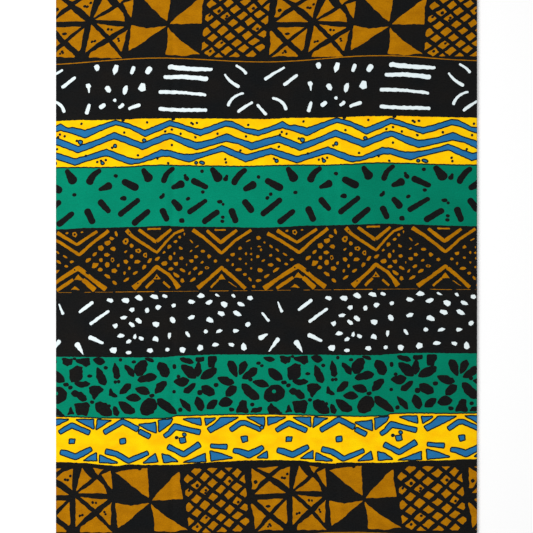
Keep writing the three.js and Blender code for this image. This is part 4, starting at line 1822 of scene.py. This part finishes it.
@dataclass
class FlatCut:
    """A stretch of the flat cloth, cut into triangles."""

    points: list[Point]
    triangles: list[tuple[int, ...]]
    inks: list[Ink]
    border: list[int]  # the points round its edge, anticlockwise

    def edge_inks(self) -> dict[tuple[int, int], Ink]:
        """Find the sides of triangles that no other triangle shares.

        Returns:
            Each such side's two points, with the ink beside it.
        """
        beside = {}
        for triangle, ink in zip(self.triangles, self.inks):
            for side in sides(triangle):
                beside[side] = ink
        return {(a, b): ink for (a, b), ink in beside.items() if (b, a) not in beside}


@dataclass
class PrintedHalf:
    """One stretch of the cloth: a printed face cut into its inks, a plain inner face and a rim."""

    name: str
    node: str
    left: float
    right: float
    rests_on: tuple[str, ...]
    form: ClothForm
    end_inset: float = 0.0  # how far its cut ends stay behind those of the half above
    thickness: float = 0.6
    grid_step: float = 7.0
    inner_step: float = 14.0
    border_step: float = 3.0

    BORDER_ROOM: ClassVar[float] = 0.8  # how near to the border the mesh's own points may lie
    MERGED: ClassVar[float] = 0.02  # how near two points are taken as one
    # An ink that covers more than this share of its outline's area, and this much besides, has
    # run out of an outline that crosses itself.
    SPILT_SHARE: ClassVar[float] = 1.2
    SPILT_AREA: ClassVar[float] = 1.0
    SMOOTH_BELOW: ClassVar[float] = 40.0  # edges that turn less than this are smooth, in degrees

    @property
    def half_length(self) -> float:
        """Return half of the stretch's length."""
        return self.form.half_length - self.end_inset

    def outline(self) -> list[Point]:
        """Set out the stretch's border on the flat cut.

        Returns:
            Its points, anticlockwise, with one at each bend of the fold.
        """
        half = self.half_length
        count = round((self.right - self.left) / self.border_step)
        across = {self.left + (self.right - self.left) * i / count for i in range(count + 1)}
        across.update(x for x in self.form.turn_stations() if self.left < x < self.right)
        places = sorted(across)
        count = round(2 * half / self.border_step)
        ups = [half * (2 * i / count - 1) for i in range(count + 1)]
        points = [(x, -half) for x in places[:-1]] + [(self.right, y) for y in ups[:-1]]
        return points + [(x, half) for x in places[:0:-1]] + [(self.left, y) for y in ups[:0:-1]]

    def triangulated(self, outline: Sequence[Point], patches: Sequence[Printed], step: float) -> FlatCut:
        """Cut a flat stretch into triangles along every ink's edge.

        Args:
            outline: The stretch's outline.
            patches: The print over it, what is on top coming last.
            step: How far apart the mesh's own points lie.

        Returns:
            The stretch's triangles, each in its ink.
        """
        points: list[Point] = list(outline)
        faces = [list(range(len(points)))]
        for patch in patches:
            corners = one_way(patch.outline)  # y runs up the cloth, so that is anticlockwise
            faces.append(list(range(len(points), len(points) + len(corners))))
            points += corners
        rows = self.form.rows(self.half_length - self.BORDER_ROOM, step)
        for x in self.form.columns(self.left + self.BORDER_ROOM, self.right - self.BORDER_ROOM, step):
            points += [(x, y) for y in rows]
        edges = []
        for line in self.form.bending_lines(self.left, self.right, self.half_length):
            edges += [(len(points) + i, len(points) + i + 1) for i in range(len(line) - 1)]
            points += line
        found = delaunay_2d_cdt([Vector(p) for p in points], edges, faces, 1, self.MERGED, True)
        flat, _, triangles, sources, _, covers = found
        covered = [0.0] * len(faces)
        kept, inks = [], []
        for triangle, cover in zip(triangles, covers):
            size = abs(area_of([flat[corner] for corner in triangle]))
            for face in cover:
                covered[face] += size
            if 0 in cover:
                kept.append(tuple(triangle))
                inks.append(patches[max(cover) - 1].ink if max(cover) else Ink.BLACK)
        wrong = [
            i
            for i, patch in enumerate(patches)
            if covered[i + 1] > self.SPILT_SHARE * abs(area_of(patch.outline)) + self.SPILT_AREA
        ]
        if wrong:
            raise RuntimeError(f"{self.name}: {len(wrong)} ink patches aren't simple outlines: {wrong[:9]}")
        place_of = {source: i for i, found_from in enumerate(sources) for source in found_from}
        border = [place_of[i] for i in range(len(outline))]
        return FlatCut([(p.x, p.y) for p in flat], kept, inks, border)

    def build(self, wax_print: WaxPrint, inks: Sequence[bpy.types.Material]) -> None:
        """Make the stretch as one closed shell.

        Args:
            wax_print: The print that it carries.
            inks: The inks' materials, in slot order.
        """
        patches = wax_print.patches(self.left, self.right, self.half_length)
        printed = self.triangulated(self.outline(), patches, self.grid_step)
        edge_inks = printed.edge_inks()
        follows = dict(edge_inks.keys())
        rim = [printed.border[0]]
        while follows[rim[-1]] != rim[0]:
            rim.append(follows[rim[-1]])
        plain = self.triangulated([printed.points[i] for i in rim], [], self.inner_step)
        if len(rim) != len(edge_inks) or len(plain.edge_inks()) != len(rim):
            raise RuntimeError(f"{self.name}: its two faces don't share one edge")

        first_inner = len(printed.points)
        flats = printed.points + plain.points
        faces = list(printed.triangles)
        colours = [ink.value for ink in printed.inks]
        for triangle in plain.triangles:
            faces.append(tuple(first_inner + corner for corner in reversed(triangle)))
            x, y = (sum(plain.points[corner][axis] for corner in triangle) / 3 for axis in (0, 1))
            colours.append(wax_print.ground_at(x, y).value)
        for i, start in enumerate(rim):
            end = rim[(i + 1) % len(rim)]
            inner_start, inner_end = (first_inner + plain.border[k % len(rim)] for k in (i, i + 1))
            faces.append((start, inner_start, inner_end, end))
            colours.append(edge_inks[start, end].value)
        places = [self.form.place(*flat) for flat in printed.points]
        for flat in plain.points:
            places.append(self.form.place(*flat) - self.form.normal(*flat) * self.thickness * MM)
        self.declare(self.mesh_piece(places, flats, faces, colours, inks))
        count = sum(len(face) - 2 for face in faces)
        log.info("%s: %d ink patches, %d triangles", self.name, len(patches), count)

    def mesh_piece(
        self,
        places: Sequence[Vector],
        flats: Sequence[Point],
        faces: Sequence[tuple[int, ...]],
        colours: Sequence[int],
        inks: Sequence[bpy.types.Material],
    ) -> bpy.types.Object:
        """Make a mesh of the shell, with the map of its threads.

        Args:
            places: Where each point lies, in metres.
            flats: Where it lies on the flat cut, in mm.
            faces: The faces' points.
            colours: Each face's material slot.
            inks: The materials.

        Returns:
            The piece.
        """
        used = sorted({corner for face in faces for corner in face})
        index = {old: new for new, old in enumerate(used)}
        mesh = bpy.data.meshes.new(self.name)
        mesh.from_pydata([places[old] for old in used], [], [[index[c] for c in face] for face in faces])
        for ink in inks:
            mesh.materials.append(ink)
        mesh.polygons.foreach_set("material_index", colours)
        cloth_map = mesh.uv_layers.new(name=ClothNodes.MAP)
        uvs: list[float] = []
        for loop in mesh.loops:
            x, y = flats[used[loop.vertex_index]]
            uvs += (x * MM, y * MM)
        cloth_map.data.foreach_set("uv", uvs)
        mesh.validate()
        piece = bpy.data.objects.new(self.name, mesh)
        bpy.context.collection.objects.link(piece)
        bpy.ops.object.select_all(action="DESELECT")
        piece.select_set(True)
        bpy.context.view_layer.objects.active = piece
        bpy.ops.object.shade_smooth_by_angle(angle=math.radians(self.SMOOTH_BELOW))
        return piece

    def declare(self, piece: bpy.types.Object) -> None:
        """Hang the piece under the root body and hide the solid that it stands for.

        Args:
            piece: The stretch's piece.
        """
        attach(piece, "root")
        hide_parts(self.node)


@dataclass(frozen=True)
class SoftLight:
    """A soft square light that faces the cloth, in metres and watts."""

    name: str
    at: tuple[float, float, float]
    size: float
    power: float

    def hang(self) -> None:
        """Put the light in its place."""
        light = bpy.data.lights.new(self.name, "AREA")
        light.size = self.size
        light.energy = self.power
        holder = bpy.data.objects.new(self.name, light)
        holder.location = self.at
        holder.rotation_euler = (-Vector(self.at)).to_track_quat("-Z", "Y").to_euler()
        bpy.context.collection.objects.link(holder)


@dataclass
class Studio:
    """A pale floor, soft light from the left and a camera straight above."""

    lens: float = 85.0
    sensor: float = 36.0
    floor_size: float = 8.0
    floor_drop: float = 0.0002  # how far the floor lies below the cloth
    floor_colour: tuple[float, float, float] = (0.92, 0.92, 0.92)
    floor_roughness: float = 0.9
    floor_specular: float = 0.1
    room_colour: tuple[float, float, float] = (1.0, 1.0, 1.0)
    room_strength: float = 0.35
    lights: tuple[SoftLight, ...] = (
        SoftLight("window_left", at=(-1.9, 0.5, 1.9), size=1.3, power=60.0),
        SoftLight("soft_above", at=(0.3, -0.3, 2.6), size=2.0, power=26.0),
    )

    def lay_floor(self) -> None:
        """Lay a plain pale floor under the cloth."""
        bpy.ops.object.select_all(action="DESELECT")
        bpy.ops.mesh.primitive_plane_add(size=self.floor_size, location=(0, 0, -self.floor_drop))
        floor = bpy.context.active_object
        floor.name = "floor"
        material = bpy.data.materials.new("pale_floor")
        material.use_nodes = True
        shader = material.node_tree.nodes["Principled BSDF"]
        shader.inputs["Base Color"].default_value = (*self.floor_colour, 1)
        shader.inputs["Roughness"].default_value = self.floor_roughness
        shader.inputs["Specular IOR Level"].default_value = self.floor_specular
        floor.data.materials.append(material)

    def light_room(self) -> None:
        """Light the cloth from the left, with soft light all round."""
        for light in self.lights:
            light.hang()
        world = bpy.data.worlds.new("pale_room")
        world.use_nodes = True
        background = world.node_tree.nodes["Background"]
        background.inputs["Color"].default_value = (*self.room_colour, 1)
        background.inputs["Strength"].default_value = self.room_strength
        bpy.context.scene.world = world

    def stand_camera(self, look_at: Vector) -> None:
        """Stand the camera straight above the cloth, framed as the photo is.

        Args:
            look_at: The place that it looks down at.
        """
        lens = bpy.data.cameras.new("camera")
        lens.lens = self.lens
        lens.sensor_width = self.sensor
        holder = bpy.data.objects.new("camera", lens)
        holder.location = look_at + Vector((0, 0, PHOTO_SIDE * self.lens / self.sensor))
        bpy.context.collection.objects.link(holder)
        bpy.context.scene.camera = holder

    def build(self, look_at: Vector) -> None:
        """Set up the studio round the cloth.

        Args:
            look_at: The place that the camera looks down at.
        """
        self.lay_floor()
        self.light_room()
        self.stand_camera(look_at)
        view = bpy.context.scene.view_settings
        view.view_transform = "Standard"
        view.look = "None"


def main() -> None:
    """Build the cloth and the studio, and report each piece."""
    logging.basicConfig(level=logging.INFO, format="%(name)s: %(message)s")
    form = ClothForm()
    wax_print = WaxPrint()
    inks = [FINISHES[ink].material() for ink in Ink]
    upper = PrintedHalf(
        name="printed_upper_half",
        node="upper_half_with_fold",
        left=-form.right,
        right=form.part_line,
        rests_on=("printed_under_half",),
        form=form,
    )
    under = PrintedHalf(
        name="printed_under_half",
        node="under_half",
        left=form.part_line + form.layer_gap,
        right=form.part_line + form.turn_x - form.turn_return + form.right - form.under_inset,
        rests_on=(),
        form=form,
        end_inset=form.cut_wander + form.under_inset,
        grid_step=14.0,
    )
    for half in (under, upper):
        half.build(wax_print, inks)
    _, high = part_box("upper_half_with_fold")
    Studio().build(Vector((0, 0, high[2] / 2)))


if __name__ == "__main__":
    main()
